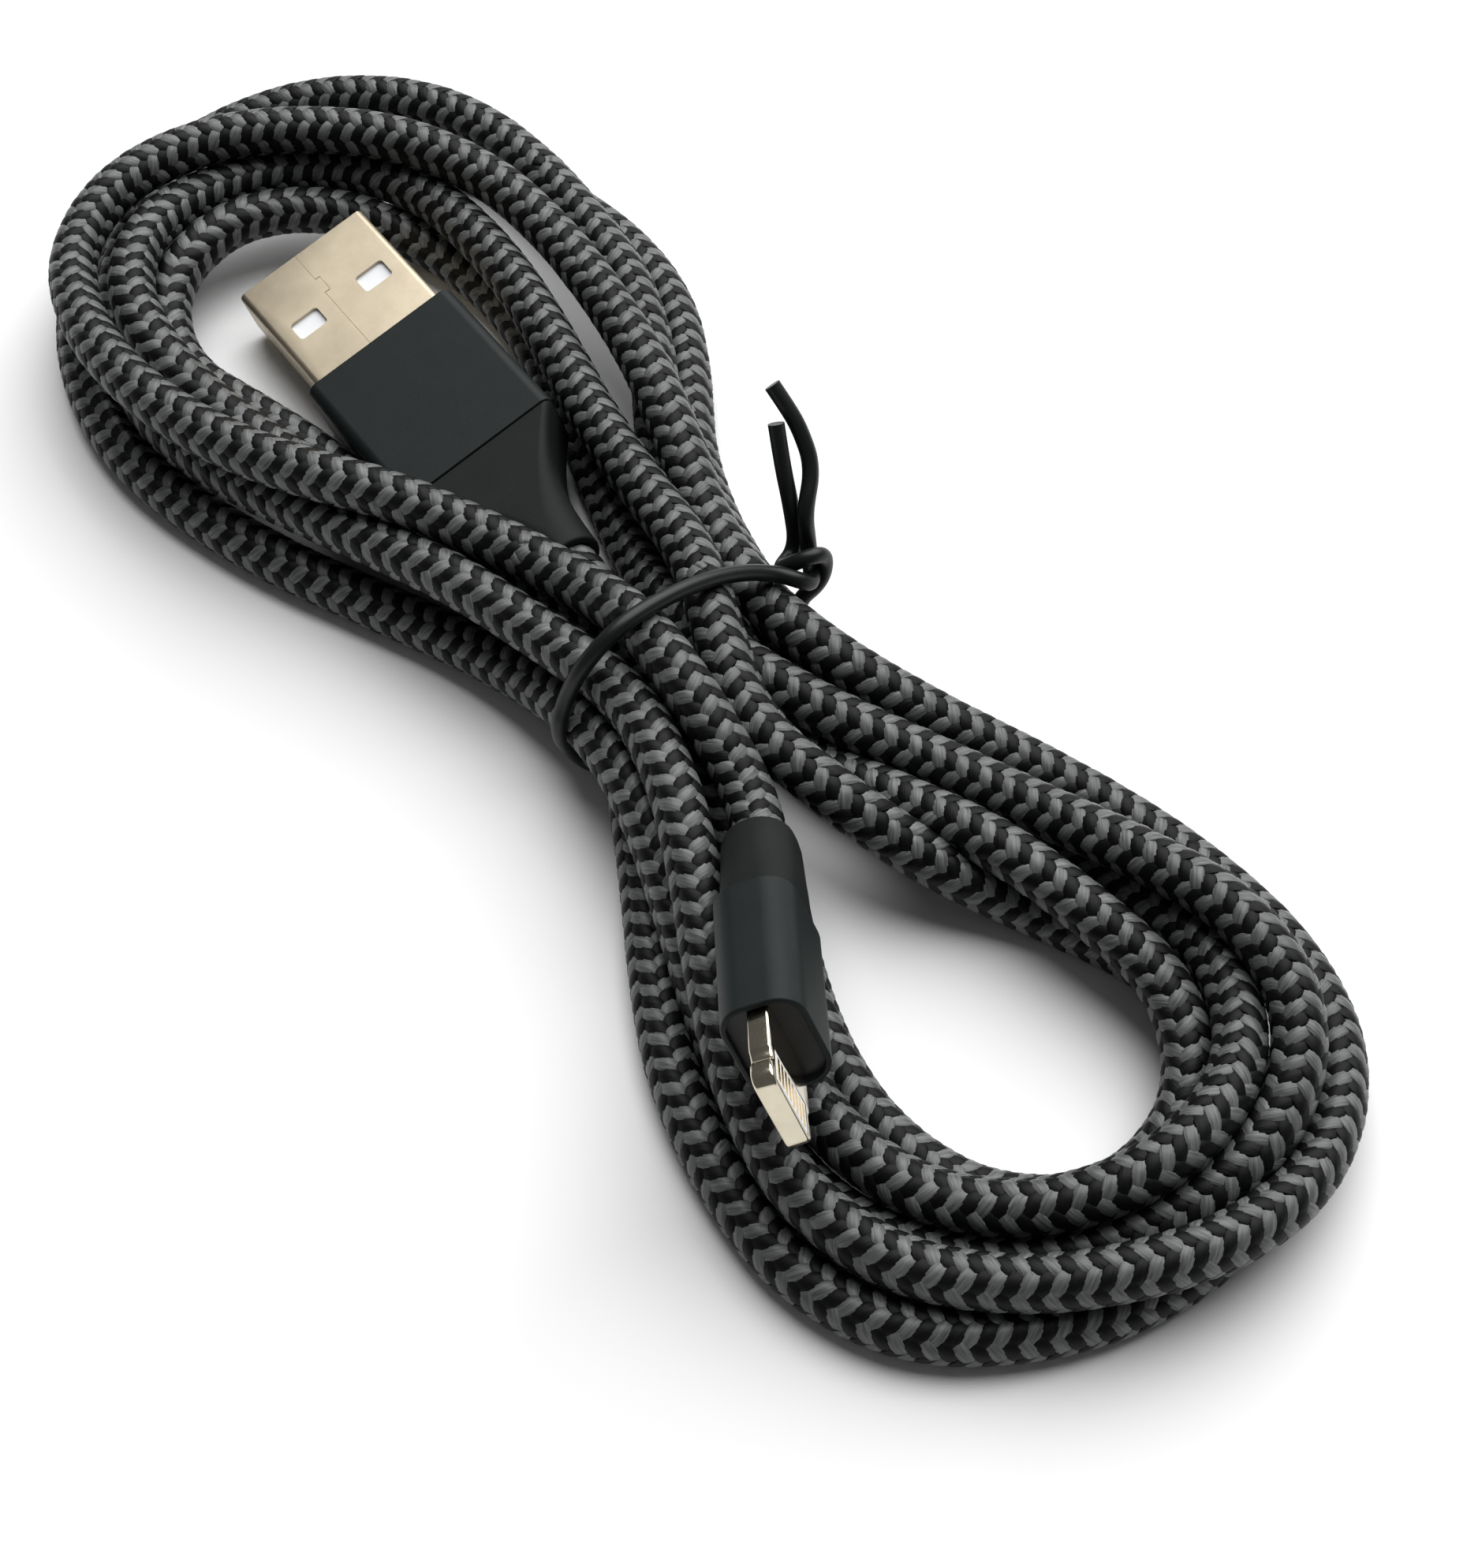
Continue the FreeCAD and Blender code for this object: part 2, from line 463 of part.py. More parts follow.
# ================================================================ cord: tubes on straight runs and tangent arcs
def route_wire(points, radii=None, share=0.45, report=None):
    """Straight runs joined by tangent arcs, each arc's radius from the shorter of its two runs."""
    pts = [V(*q) for q in points]
    edges, at, out = [], pts[0], []
    for i in range(1, len(pts) - 1):
        a, b, c = pts[i - 1], pts[i], pts[i + 1]
        u, w = a.sub(b), c.sub(b)
        short = share * min(u.Length, w.Length)
        u.normalize()
        w.normalize()
        half = math.acos(max(-1.0, min(1.0, u.dot(w)))) / 2.0     # half the inside angle
        turn = math.pi - 2.0 * half
        rad = short / math.tan(turn / 2.0)
        p0, p1 = b.add(V(u).multiply(short)), b.add(V(w).multiply(short))
        mid = V(u).add(w)
        mid.normalize()
        centre = b.add(V(mid).multiply(rad / math.cos(turn / 2.0)))
        pm = centre.sub(V(mid).multiply(rad))
        edges.append(Part.LineSegment(at, p0).toShape())
        edges.append(Part.Arc(p0, pm, p1).toShape())
        out.append((round(rad, 1), round(math.degrees(turn))))
        at = p1
    edges.append(Part.LineSegment(at, pts[-1]).toShape())
    wire = Part.Wire(edges)
    if report:
        print(report, "length %.1f" % wire.Length, "arc radii, turns:", out)
    return wire


def tube(wire, radius):
    e = wire.Edges[0]
    d = e.tangentAt(e.FirstParameter)
    profile = Part.Wire([Part.Circle(e.valueAt(e.FirstParameter), d, radius).toShape()])
    return wire.makePipeShell([profile], True, False)


def feature(label, shape):
    f = doc.addObject("Part::Feature", label)
    f.Shape = shape
    return keep(f, label, FreeCAD.Placement())


r_cord = D["cord_d"] / 2
# the stretch beside the wide plug: out of the boot, under the far loop and into the tied waist
wide_out = WIDE.multVec(V(-D["shell_out"] - D["house_len"] - D["boot_len"], 0, 0))
TAIL_WIDE = [(wide_out.x, wide_out.y, wide_out.z), (-1.6, -1.78, 5.4), (3.6, -1.7, 4.6), (9.4, -1.9, 3.4)]
wire = route_wire(TAIL_WIDE, report="wide_plug_tail")
tail_wide = tube(wire, r_cord)
print("  volume ratio %.4f" % (tail_wide.Volume / (math.pi * r_cord ** 2 * wire.Length)))
feature("cord_tail_wide", tail_wide)

# the stretch beside the slim plug: out of the tie, over the waist, into the slim boot
slim_out = SLIM.multVec(V(0, 0, 0))
TAIL_SLIM = [(0.4, -4.0, 10.9), (6.3, -3.65, 11.7), (12.9, -3.9, 11.3), (19.5, -4.3, 9.15), (slim_out.x, slim_out.y, slim_out.z)]
wire = route_wire(TAIL_SLIM, report="slim_plug_tail")
whole = tube(wire, r_cord)
print("  volume ratio %.4f" % (whole.Volume / (math.pi * r_cord ** 2 * wire.Length)))
# the flexing place: a plane across the tail, half way along its third run
ha, hb = V(*TAIL_SLIM[2]), V(*TAIL_SLIM[3])
hd = hb.sub(ha)
hd.normalize()
hinge_mid = ha.add(hb).multiply(0.5)
half_space = Part.makeBox(60, 60, 60, V(-30, -30, 0))
half_space.Placement = FreeCAD.Placement(hinge_mid, FreeCAD.Rotation(V(0, 0, 1), hd))
feature("cord_tail_slim", whole.cut(half_space))
feature("slim_plug_cord_stub", whole.common(half_space))
hinge_axis = hd.cross(V(0, 0, 1))
hinge_axis.normalize()
hinge_up = hinge_axis.cross(hd)
hinge_pos = hinge_mid.add(V(hinge_up).multiply(r_cord))
print("hinge pos", [round(q, 3) for q in hinge_pos], "axis", [round(q, 4) for q in hinge_axis])

# ================================================================ twist tie
TIE = [
    (0.19, 12.41, 17), (3.04, 11.42, 13.2), (5.03, 10.73, 9.6), (7.42, 9.91, 8.3), (6.48, 7.8, 9.6),
    (5.54, 5.31, 10.9), (5.28, 1.35, 12.6), (5.8, -2.71, 14.2), (6.42, -6.46, 14.6), (6.22, -9.56, 12.2),
    (5.64, -10.64, 8.6), (5.3, -10.88, 4.2), (5.81, -10.3, 1.4), (7.69, -9.54, 0.64), (7.88, -4.63, 0.64),
    (8.65, 2.22, 0.64), (9.14, 8.17, 0.75), (8.94, 11.29, 2.4), (8.19, 11.96, 5.4), (6.62, 12.37, 8.2),
    (6.02, 10.91, 9.9), (3.21, 13.63, 13.6), (0.7, 14.3, 16.4), (-1.89, 13.79, 18.6),
]
tie_wire = route_wire(TIE, share=0.42, report="tie")
tie_out = tube(tie_wire, D["tie_d"] / 2)
tie_in = tube(tie_wire, D["tie_core_d"] / 2)
feature("tie_core_wire", tie_in)
feature("tie_coating", tie_out.cut(tie_in))

# ================================================================ hank: outer shape of the folded cord
LAYER_ONE = [[
    (-42.1, -23.9), (-46.05, -23.17), (-49.85, -21.9), (-53.46, -20.15), (-56.83, -17.97), (-59.81, -15.29),
    (-62.41, -12.23), (-64.44, -8.78), (-65.81, -5.01), (-66.47, -1.05), (-66.29, 2.95), (-65.34, 6.84),
    (-63.6, 10.45), (-61.1, 13.59), (-58.15, 16.31), (-54.75, 18.42), (-51.03, 19.94), (-47.15, 20.95),
    (-43.37, 22.3), (-39.49, 23.35), (-35.53, 23.97), (-31.52, 24.02), (-27.54, 23.56), (-23.69, 22.43),
    (-20.08, 20.68), (-16.61, 18.65), (-13.23, 16.48), (-9.71, 14.57), (-5.96, 13.12), (-2.11, 11.99),
    (1.81, 11.11), (5.72, 10.22), (9.65, 9.4), (13.54, 10.18), (17.15, 11.94), (20.63, 13.94),
    (24.07, 16.01), (27.64, 17.84), (31.33, 19.42), (35.16, 20.63), (39.08, 21.48), (43.07, 21.96),
    (47.08, 21.99), (51.06, 21.49), (54.91, 20.35), (58.45, 18.48), (61.46, 15.84), (63.9, 12.66),
    (65.55, 9.01), (66.39, 5.09), (66.4, 1.09), (65.64, -2.85), (64.81, -6.78), (63.63, -10.61),
    (61.91, -14.24), (59.65, -17.55), (56.75, -20.32), (53.27, -22.29), (49.43, -23.47), (45.45, -23.93),
    (41.44, -23.68), (37.48, -23.07), (33.58, -22.11), (29.81, -20.73), (26.19, -18.99), (22.67, -17.06),
    (19.2, -15.04), (15.68, -13.12), (11.86, -11.95), (7.88, -11.45), (3.87, -11.4), (-0.13, -11.76),
    (-4.04, -12.67), (-7.82, -14.01), (-11.49, -15.63), (-15.14, -17.31), (-18.79, -18.99), (-22.5, -20.51),
    (-26.3, -21.81), (-30.16, -22.92), (-34.09, -23.73), (-38.09, -24.04),
],
[
    (-42.5, -12.51), (-46.31, -11.21), (-48.98, -8.2), (-49.98, -4.29), (-49.45, -0.29), (-47.56, 3.28),
    (-44.56, 6.01), (-40.9, 7.72), (-36.92, 8.5), (-32.87, 8.41), (-28.85, 7.81), (-24.87, 7.03),
    (-20.91, 6.12), (-17, 5.03), (-13.12, 3.81), (-9.24, 2.61), (-5.33, 1.5), (-1.38, 0.58), (0.56, -1.91),
    (-3.29, -3.14), (-7.13, -4.45), (-10.86, -6.06), (-14.77, -7.15), (-18.77, -7.82), (-22.83, -8),
    (-26.87, -8.32), (-30.84, -9.19), (-34.7, -10.47), (-38.53, -11.81),
],
[
    (41.3, -9.11), (37.45, -8.45), (33.71, -7.31), (30.08, -5.87), (26.42, -4.48), (24.69, -1.76),
    (28.08, 0.15), (31.43, 2.16), (34.6, 4.45), (37.88, 6.56), (41.66, 7.5), (45.54, 8.01), (49.38, 7.45),
    (52.57, 5.27), (54.19, 1.76), (53.97, -2.1), (52.02, -5.45), (48.92, -7.79), (45.19, -8.92),
]]
LAYER_TWO = [[
    (-42.5, -22.51), (-46.48, -22), (-50.33, -20.89), (-53.9, -19.08), (-56.86, -16.38), (-58.99, -13),
    (-60.11, -9.16), (-60.16, -5.15), (-59.38, -1.22), (-57.81, 2.47), (-55.64, 5.84), (-53.02, 8.88),
    (-49.99, 11.5), (-46.61, 13.67), (-43.45, 15.93), (-46.67, 17.11), (-50.55, 16.11), (-54.22, 14.51),
    (-56.65, 16.56), (-53.51, 18.92), (-49.73, 20.26), (-45.78, 20.97), (-41.78, 21.2), (-37.76, 21.19),
    (-33.76, 20.87), (-29.78, 20.39), (-25.86, 19.53), (-22.28, 17.84), (-19.6, 15.06), (-15.7, 14.12),
    (-11.83, 13.03), (-8.01, 11.81), (-4.21, 10.51), (-0.34, 9.46), (3.61, 8.79), (7.61, 8.76),
    (11.56, 9.46), (15.31, 10.87), (19.04, 11.92), (22.14, 9.77), (25.8, 11.4), (29.52, 12.92),
    (33.3, 14.27), (37.12, 15.49), (40.99, 16.55), (44.92, 17.37), (48.92, 17.6), (52.9, 17.1),
    (56.58, 15.56), (59.57, 12.9), (61.69, 9.51), (63.62, 6.1), (66.36, 3.56), (66.12, -0.44),
    (65.11, -4.32), (63.58, -8.02), (61.5, -11.45), (58.61, -14.11), (56, -11.45), (52.91, -9.14),
    (54.62, -5.62), (56.1, -1.91), (56.34, 2.08), (55.22, 5.92), (52.9, 9.15), (49.47, 11.04), (46.55, 8.42),
    (42.6, 7.73), (38.67, 6.92), (34.79, 5.91), (31.29, 4.16), (29.26, 0.89), (25.67, -0.92), (21.95, -2.4),
    (22.95, -5.39), (23.8, -8.99), (26.89, -11.34), (30.45, -13.18), (34.12, -14.81), (37.9, -16.16),
    (41.81, -17.05), (45.78, -17.57), (46.14, -20.67), (42.19, -20.84), (38.25, -20.08), (34.41, -18.9),
    (30.71, -17.35), (27.08, -15.64), (23.18, -14.88), (19.35, -13.65), (15.48, -12.6), (11.54, -11.84),
    (7.55, -11.4), (3.7, -10.47), (-0.19, -10.7), (-4.07, -11.74), (-7.9, -12.93), (-11.69, -14.25),
    (-15.5, -15.53), (-19.3, -16.8), (-23.11, -18.07), (-26.86, -19.49), (-30.65, -20.83), (-34.52, -21.86),
    (-38.5, -22.42),
],
[
    (-26.7, -14.94), (-29.82, -12.56), (-33.74, -13.34), (-37.68, -14.18), (-41.69, -14.42),
    (-45.68, -14.01), (-49.31, -12.34), (-52.05, -9.44), (-50.55, -6.12), (-51.36, -2.65), (-53.43, 0.25),
    (-51.77, 3.89), (-48.85, 6.61), (-45.18, 8.24), (-41.21, 8.8), (-37.19, 8.8), (-33.18, 8.52),
    (-29.19, 7.96), (-25.25, 7.17), (-21.32, 6.28), (-17.41, 5.36), (-13.46, 4.58), (-9.49, 3.92),
    (-5.52, 3.32), (-1.54, 2.72), (1.82, 0.68), (1.28, -2.2), (-2.66, -3.02), (-6.48, -4.28),
    (-10.16, -5.88), (-13.75, -7.7), (-17.62, -8.81), (-21.5, -9.86), (-24.12, -12.49),
]]
LAYER_TOP = [[
    (-39.7, -22.31), (-41.09, -20.13), (-38.62, -18.79), (-35.67, -18.39), (-32.78, -17.67),
    (-29.95, -16.76), (-27.19, -15.66), (-24.49, -14.41), (-21.9, -12.96), (-19.37, -11.38), (-16.85, -9.81),
    (-14.32, -8.25), (-11.74, -6.77), (-9.08, -5.45), (-6.35, -4.26), (-3.53, -3.32), (-0.64, -2.6),
    (2.3, -2.16), (5.26, -1.86), (7.23, -3.73), (9.35, -5.58), (12.29, -6), (15.19, -6.66), (18.04, -7.52),
    (20.81, -8.61), (23.54, -9.8), (26.01, -11.4), (25.54, -13.87), (22.72, -13.36), (20, -12.16),
    (17.24, -11.05), (14.4, -10.17), (11.5, -9.5), (8.55, -9.2), (5.61, -9), (3.92, -6.64), (1.22, -5.92),
    (-1.69, -6.53), (-4.52, -7.43), (-7.28, -8.55), (-9.94, -9.87), (-12.53, -11.34), (-15.06, -12.9),
    (-17.58, -14.49), (-20.09, -16.07), (-22.69, -17.52), (-25.38, -18.79), (-28.13, -19.92),
    (-30.95, -20.86), (-33.82, -21.64), (-36.74, -22.2),
],
[
    (15.5, -2.92), (12.55, -2.33), (9.72, -1.32), (6.84, -0.48), (4.21, 0.94), (1.41, 2.02), (-1.34, 3.18),
    (-1.03, 5.7), (1.87, 5.63), (4.71, 4.63), (7.48, 3.46), (10.27, 2.33), (13.09, 1.26), (16.02, 0.65),
    (18.86, -0.1), (18.45, -2.62),
],
[
    (-56.5, 0.25), (-57.55, 2.7), (-55.98, 5.27), (-54.11, 7.63), (-51.99, 9.77), (-49.66, 11.67),
    (-46.94, 12.75), (-45.87, 10.4), (-48.08, 8.37), (-50.33, 6.37), (-52.36, 4.14), (-54.08, 1.67),
]]


def loop_face(points, z):
    s = Part.BSplineCurve()
    s.interpolate([V(q[0], q[1], z) for q in points], PeriodicFlag=True)
    return Part.Face(Part.Wire([s.toShape()]))


def slab(loops, z0, z1):
    """First loop is the outline; a loop inside one already made is an opening, else a second outline."""
    out = None
    for pts in loops:
        s = loop_face(pts, z0).extrude(V(0, 0, z1 - z0))
        probe = s.common(out).Volume if out else 0.0
        if out is None:
            out = s
        elif probe > 0.5 * s.Volume:
            out = out.cut(s)
        else:
            out = out.fuse(s)
    return out


hank = slab(LAYER_ONE, 0, D["layer_one"])
hank = hank.fuse(slab(LAYER_TWO, D["layer_one"], D["layer_two"]))
hank = hank.fuse(slab(LAYER_TOP, D["layer_two"], D["layer_top"]))
# room for what lies in and on it: tie, tails and both plugs
hank = hank.cut(tube(tie_wire, D["tie_d"] / 2 + 0.12))
hank = hank.cut(tube(route_wire(TAIL_WIDE), r_cord + 0.05))
hank = hank.cut(tube(route_wire(TAIL_SLIM), r_cord + 0.3))
room = Part.makeBox(15.1, 14.2, 6.6, V(-27.4, -7.1, -3.3))
room = room.fuse(Part.makeBox(12.8, 12.4, 4.9, V(-12.5, -6.2, -2.45)))
room = room.fuse(Part.makeBox(5.0, 13.9, 6.4, V(-31.9, -6.95, -3.2)))
room = room.fuse(Part.makeBox(8.0, 9.2, 6.2, V(-38.9, -4.6, -3.1)))
room.Placement = WIDE
hank = hank.cut(room)
# upward clearance over the slim plug's path
lift = pose(SLIM.Base, -33.38, 15.85, 0)
room = Part.makeBox(31.0, 10.4, 22.0, V(-3.0, -5.2, -4.95))
room.Placement = lift
hank = hank.cut(room)
flex = Part.makeBox(14.0, 7.0, 20.0, V(-4.0, -3.5, -2.4))
flex.Placement = FreeCAD.Placement(hinge_mid, FreeCAD.Rotation(V(0, 0, 1), math.degrees(math.atan2(hd.y, hd.x)))
                                   * FreeCAD.Rotation(V(0, 1, 0), math.degrees(math.asin(-hd.z))))
hank = hank.cut(flex)
solids = sorted(hank.Solids, key=lambda q: -q.Volume)
print("hank solids", [round(q.Volume) for q in solids])
feature("cord_hank", solids[0])

# ================================================================ check and write
doc.recompute()
bad = []
for o in doc.Objects:
    for st in ("Invalid", "Error"):
        if st in o.State:
            bad.append("%s: %s" % (o.Label, o.State))
for o in nodes:
    s = o.Shape
    if s.isNull() or not s.isValid() or not s.Solids:
        bad.append("%s: bad shape" % o.Label)
if bad:
    raise RuntimeError("; ".join(bad))
os.makedirs("parts", exist_ok=True)
for o in nodes:
    s = o.Shape
    bb = s.BoundBox
    print("%-28s solids %d volume %9.3f  x %7.2f %7.2f  y %7.2f %7.2f  z %6.2f %6.2f" % (
        o.Label, len(s.Solids), s.Volume, bb.XMin, bb.XMax, bb.YMin, bb.YMax, bb.ZMin, bb.ZMax))
    s.exportStep("parts/%s.step" % o.Label)
print(len(nodes), "nodes")
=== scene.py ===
import math
import bpy
import bmesh
import numpy as np
from mathutils import Vector, Matrix
from mathutils.kdtree import KDTree


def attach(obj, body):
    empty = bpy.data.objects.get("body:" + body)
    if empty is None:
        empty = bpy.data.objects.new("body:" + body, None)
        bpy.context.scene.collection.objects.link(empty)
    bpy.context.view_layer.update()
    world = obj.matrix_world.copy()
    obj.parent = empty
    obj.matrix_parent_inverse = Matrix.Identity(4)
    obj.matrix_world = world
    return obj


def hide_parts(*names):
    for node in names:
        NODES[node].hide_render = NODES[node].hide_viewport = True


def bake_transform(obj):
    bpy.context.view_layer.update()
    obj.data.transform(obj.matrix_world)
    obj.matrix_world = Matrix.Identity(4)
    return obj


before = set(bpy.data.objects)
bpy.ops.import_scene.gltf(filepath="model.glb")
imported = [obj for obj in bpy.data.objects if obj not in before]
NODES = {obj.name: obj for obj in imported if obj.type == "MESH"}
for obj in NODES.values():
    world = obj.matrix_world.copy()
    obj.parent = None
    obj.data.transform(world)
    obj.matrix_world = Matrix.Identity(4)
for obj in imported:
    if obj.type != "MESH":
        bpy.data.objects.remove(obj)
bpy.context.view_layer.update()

MM = 0.001

# ------------------------------------------------------------------ camera
camera_data = bpy.data.cameras.new("camera")
camera_data.sensor_fit = "HORIZONTAL"
camera_data.sensor_width = 36.0
camera_data.lens = 71.08
camera_data.clip_start = 0.01
camera = bpy.data.objects.new("camera", camera_data)
bpy.context.scene.collection.objects.link(camera)
camera.location = Vector((113.47, -73.31, 172.9)) * MM
look = Vector((14.45, -1.37, 0.0)) * MM - camera.location
camera.rotation_euler = look.to_track_quat("-Z", "Y").to_euler()
bpy.context.scene.camera = camera
bpy.context.scene.view_settings.view_transform = "Standard"

# ------------------------------------------------------------------ the cord's route, millimetres
# from the wide plug's boot, under and over itself, to the slim plug's boot
ROUTE = [
    (-6.05, -1.88, 5.29), (-1.96, -1.8, 5.7), (5.63, -1.59, 4), (13.76, -2.44, 2.62), (21.42, -4.62, 1.96),
    (28.89, -7.45, 1.9), (36.36, -10.43, 1.93), (44.38, -11.45, 1.94), (52.26, -8.8, 1.85),
    (56.86, -1.88, 1.91), (55.29, 6.33, 3.23), (48.38, 10.49, 4.97), (40.28, 9.28, 6), (32.56, 7.27, 6.74),
    (25.19, 4.92, 5.15), (17.77, 2.71, 3.14), (9.83, 3.29, 2.95), (1.96, 5.34, 3.18), (-5.77, 7.42, 3.74),
    (-12.93, 10.79, 4.41), (-19.66, 15.23, 4.9), (-27.06, 18.23, 5.53), (-35.04, 19.23, 5.63),
    (-43.08, 19.57, 5.63), (-51.01, 18.31, 5.65), (-58.1, 14.4, 4.91), (-63.2, 8.17, 3.67),
    (-65.06, 0.35, 2.45), (-63.33, -7.59, 1.9), (-58.7, -14.24, 1.9), (-52.17, -19.01, 1.93),
    (-44.6, -21.86, 1.92), (-36.58, -22.38, 1.92), (-28.7, -20.68, 1.92), (-21.13, -18.03, 1.92),
    (-13.9, -14.6, 1.95), (-6.55, -11.28, 2.19), (1.07, -9.38, 3.73), (8.69, -9.46, 6.52),
    (16.59, -10.81, 6.94), (24.12, -13.25, 5.43), (31.43, -15.88, 3.44), (39.16, -17.8, 2.08),
    (47.24, -17.39, 1.83), (54.24, -13.29, 1.83), (58.85, -6.64, 2.46), (61.11, 0.91, 4.37),
    (60.66, 8.95, 6.2), (55.38, 14.98, 8.06), (47.25, 16.13, 8.85), (39.45, 14.33, 7.45), (31.96, 11.93, 5.91),
    (24.54, 8.95, 5.46), (17.6, 4.95, 6.45), (10.13, 2.01, 7.07), (2.28, 1.73, 5.17), (-5.21, 3.35, 2.57),
    (-12.81, 5.7, 1.77), (-20.46, 8.15, 1.93), (-28.24, 10.06, 1.95), (-36.31, 10.79, 1.81),
    (-44.2, 9.02, 2.25), (-50.25, 3.87, 4.22), (-52.61, -4, 5.45), (-49.76, -11.95, 4.63),
    (-42.28, -15.21, 3.35), (-34.5, -12.37, 2.82), (-26.96, -9.96, 2.4), (-18.93, -9.98, 1.89),
    (-11.14, -8.36, 1.91), (-3.48, -5.41, 2.35), (4.32, -5.17, 3.09), (11.54, -8.78, 3.06),
    (18.66, -12.48, 2.26), (25.53, -16.54, 1.88), (32.71, -20.07, 1.92), (40.57, -21.86, 1.92),
    (48.68, -22.13, 1.92), (56.21, -19.03, 1.92), (61.04, -12.53, 1.92), (63.61, -4.72, 1.92),
    (63.55, 3.42, 1.91), (59.05, 10.2, 1.95), (51.4, 12.97, 1.98), (43.24, 11.63, 1.79), (35.97, 7.99, 1.96),
    (30.19, 3.41, 4.89), (23.67, -0.01, 8.18), (15.88, -1.74, 9.3), (8.39, 1.1, 10.16), (1.08, 4.28, 9.25),
    (-6.82, 5.35, 8.18), (-14.7, 6.59, 7.41), (-22.48, 8.49, 6.92), (-30.31, 10.11, 6.69),
    (-38.27, 10.86, 6.37), (-46.43, 10.32, 5.64), (-53.27, 6.1, 5.15), (-56.26, -1.71, 5.59),
    (-54.77, -9.87, 6.78), (-48.91, -15.44, 7.37), (-40.87, -16.68, 6.7), (-32.97, -15.17, 5.32),
    (-25.36, -12.83, 5.02), (-17.65, -10.72, 5.53), (-9.9, -8.72, 5.73), (-2.31, -6.21, 6.18),
    (5.44, -3.99, 6.77), (13.45, -3.7, 6.42), (21.01, -6.21, 5.4), (28.02, -10.08, 4.51), (35.33, -13.4, 4.09),
    (43.35, -14.77, 4.09), (51.13, -12.47, 4.44), (56.79, -6.62, 5.84), (58.85, 1.15, 7.5),
    (56.31, 9.03, 7.03), (49.83, 13.85, 5.7), (41.87, 14.68, 3.98), (34.11, 13.2, 2.35), (26.61, 10.38, 1.74),
    (19.08, 7.44, 2.33), (11.25, 6.94, 3.24), (3.42, 8.8, 2.75), (-4.43, 10.49, 1.89), (-11.89, 13.24, 1.89),
    (-18.59, 17.74, 1.93), (-25.72, 21.5, 1.92), (-33.71, 22.48, 1.93), (-41.68, 21.03, 1.92),
    (-49.16, 18.03, 1.88), (-55.56, 13.15, 2.05), (-59.97, 6.33, 2.67), (-61.27, -1.71, 3.37),
    (-58.58, -9.33, 3.78), (-52.68, -14.93, 3.77), (-45.25, -18.29, 3.73), (-37.3, -19.5, 4.23),
    (-29.44, -18.23, 5.07), (-21.87, -15.68, 6.06), (-14.39, -13.23, 7.57), (-6.91, -10.62, 8.53),
    (0.86, -8.43, 8.3), (8.69, -7.01, 9.36), (16.51, -8.73, 10.24), (23.91, -11.85, 9.36),
    (30.81, -15.51, 7.57), (38.12, -18.38, 5.96), (46.16, -19.6, 5.13), (53.8, -17.09, 4.72),
    (59.66, -11.4, 5.34), (63.49, -4.33, 5.94), (65.06, 3.64, 5.4), (63, 11.35, 3.94), (57.51, 17.43, 3.15),
    (49.92, 20.12, 2.49), (41.83, 20.12, 1.94), (33.95, 18.51, 1.87), (26.6, 15.38, 2.67), (20, 11.27, 4.69),
    (13.13, 7.62, 6.93), (5.16, 6.49, 7.08), (-2.78, 8.01, 6.83), (-10.28, 10.67, 8.02), (-17.95, 12.87, 8.43),
    (-25.83, 14.37, 8.08), (-33.84, 15.04, 8.1), (-41.85, 14.09, 8.61), (-48.96, 10.36, 9.19),
    (-54.66, 4.58, 9.06), (-58.36, -2.61, 8.91), (-58.52, -10.89, 8.49), (-53.9, -17.58, 7.92),
    (-46.23, -20.51, 8.61), (-38.18, -20.84, 9.14), (-30.37, -18.99, 9.18), (-22.99, -15.84, 9.87),
    (-16.28, -11.51, 10.48), (-9.43, -7.39, 9.57), (-1.93, -4.49, 9.55), (5.81, -3.51, 11.56),
    (13.84, -4.42, 11.88), (21.66, -5.12, 9.08), (24.95, -7.19, 9.9),
]

CORD_D = 3.84 * MM
PITCH = 7.7 * MM          # one turn of a yarn round the cord
STEP = PITCH / 32


def link(obj):
    bpy.context.scene.collection.objects.link(obj)
    return obj


def spline_points(points, resolution):
    """The points of a smooth open spline on these control points, read from the curve itself."""
    data = bpy.data.curves.new("line", "CURVE")
    data.dimensions = "3D"
    data.resolution_u = resolution
    s = data.splines.new("NURBS")
    s.points.add(len(points) - 1)
    for q, p in zip(s.points, points):
        q.co = (p[0] * MM, p[1] * MM, p[2] * MM, 1.0)
    s.order_u = 3
    s.use_endpoint_u = True
    bare = bpy.data.objects.new("line", data)
    mesh = bpy.data.meshes.new_from_object(bare)
    out = np.array([v.co for v in mesh.vertices], float)
    bpy.data.meshes.remove(mesh)
    bpy.data.objects.remove(bare)
    bpy.data.curves.remove(data)
    keep = np.concatenate([[True], np.linalg.norm(np.diff(out, axis=0), axis=1) > 1e-7])
    return out[keep]


def even(line, step):
    """The line again, at equal steps along it."""
    along = np.concatenate([[0], np.cumsum(np.linalg.norm(np.diff(line, axis=0), axis=1))])
    n = int(round(along[-1] / step))
    at = np.linspace(0, along[-1], n + 1)
    return np.stack([np.interp(at, along, line[:, k]) for k in range(3)], axis=1), at


def unit(v):
    return v / np.maximum(np.linalg.norm(v, axis=-1, keepdims=True), 1e-12)


def frames(line):
    """Directions along, sideways and up at each point, carried along with no twist."""
    t = unit(np.gradient(line, axis=0))
    n = np.zeros_like(t)
    first = np.cross((0.0, 0.0, 1.0), t[0])
    n[0] = first / np.linalg.norm(first)
    for i in range(1, len(t)):
        v = n[i - 1] - t[i] * n[i - 1].dot(t[i])
        n[i] = v / np.linalg.norm(v)
    return t, n, np.cross(t, n)


fine = spline_points(ROUTE, 24)
line, along = even(fine, STEP)
tangent, side, up = frames(line)
COUNT = len(line)


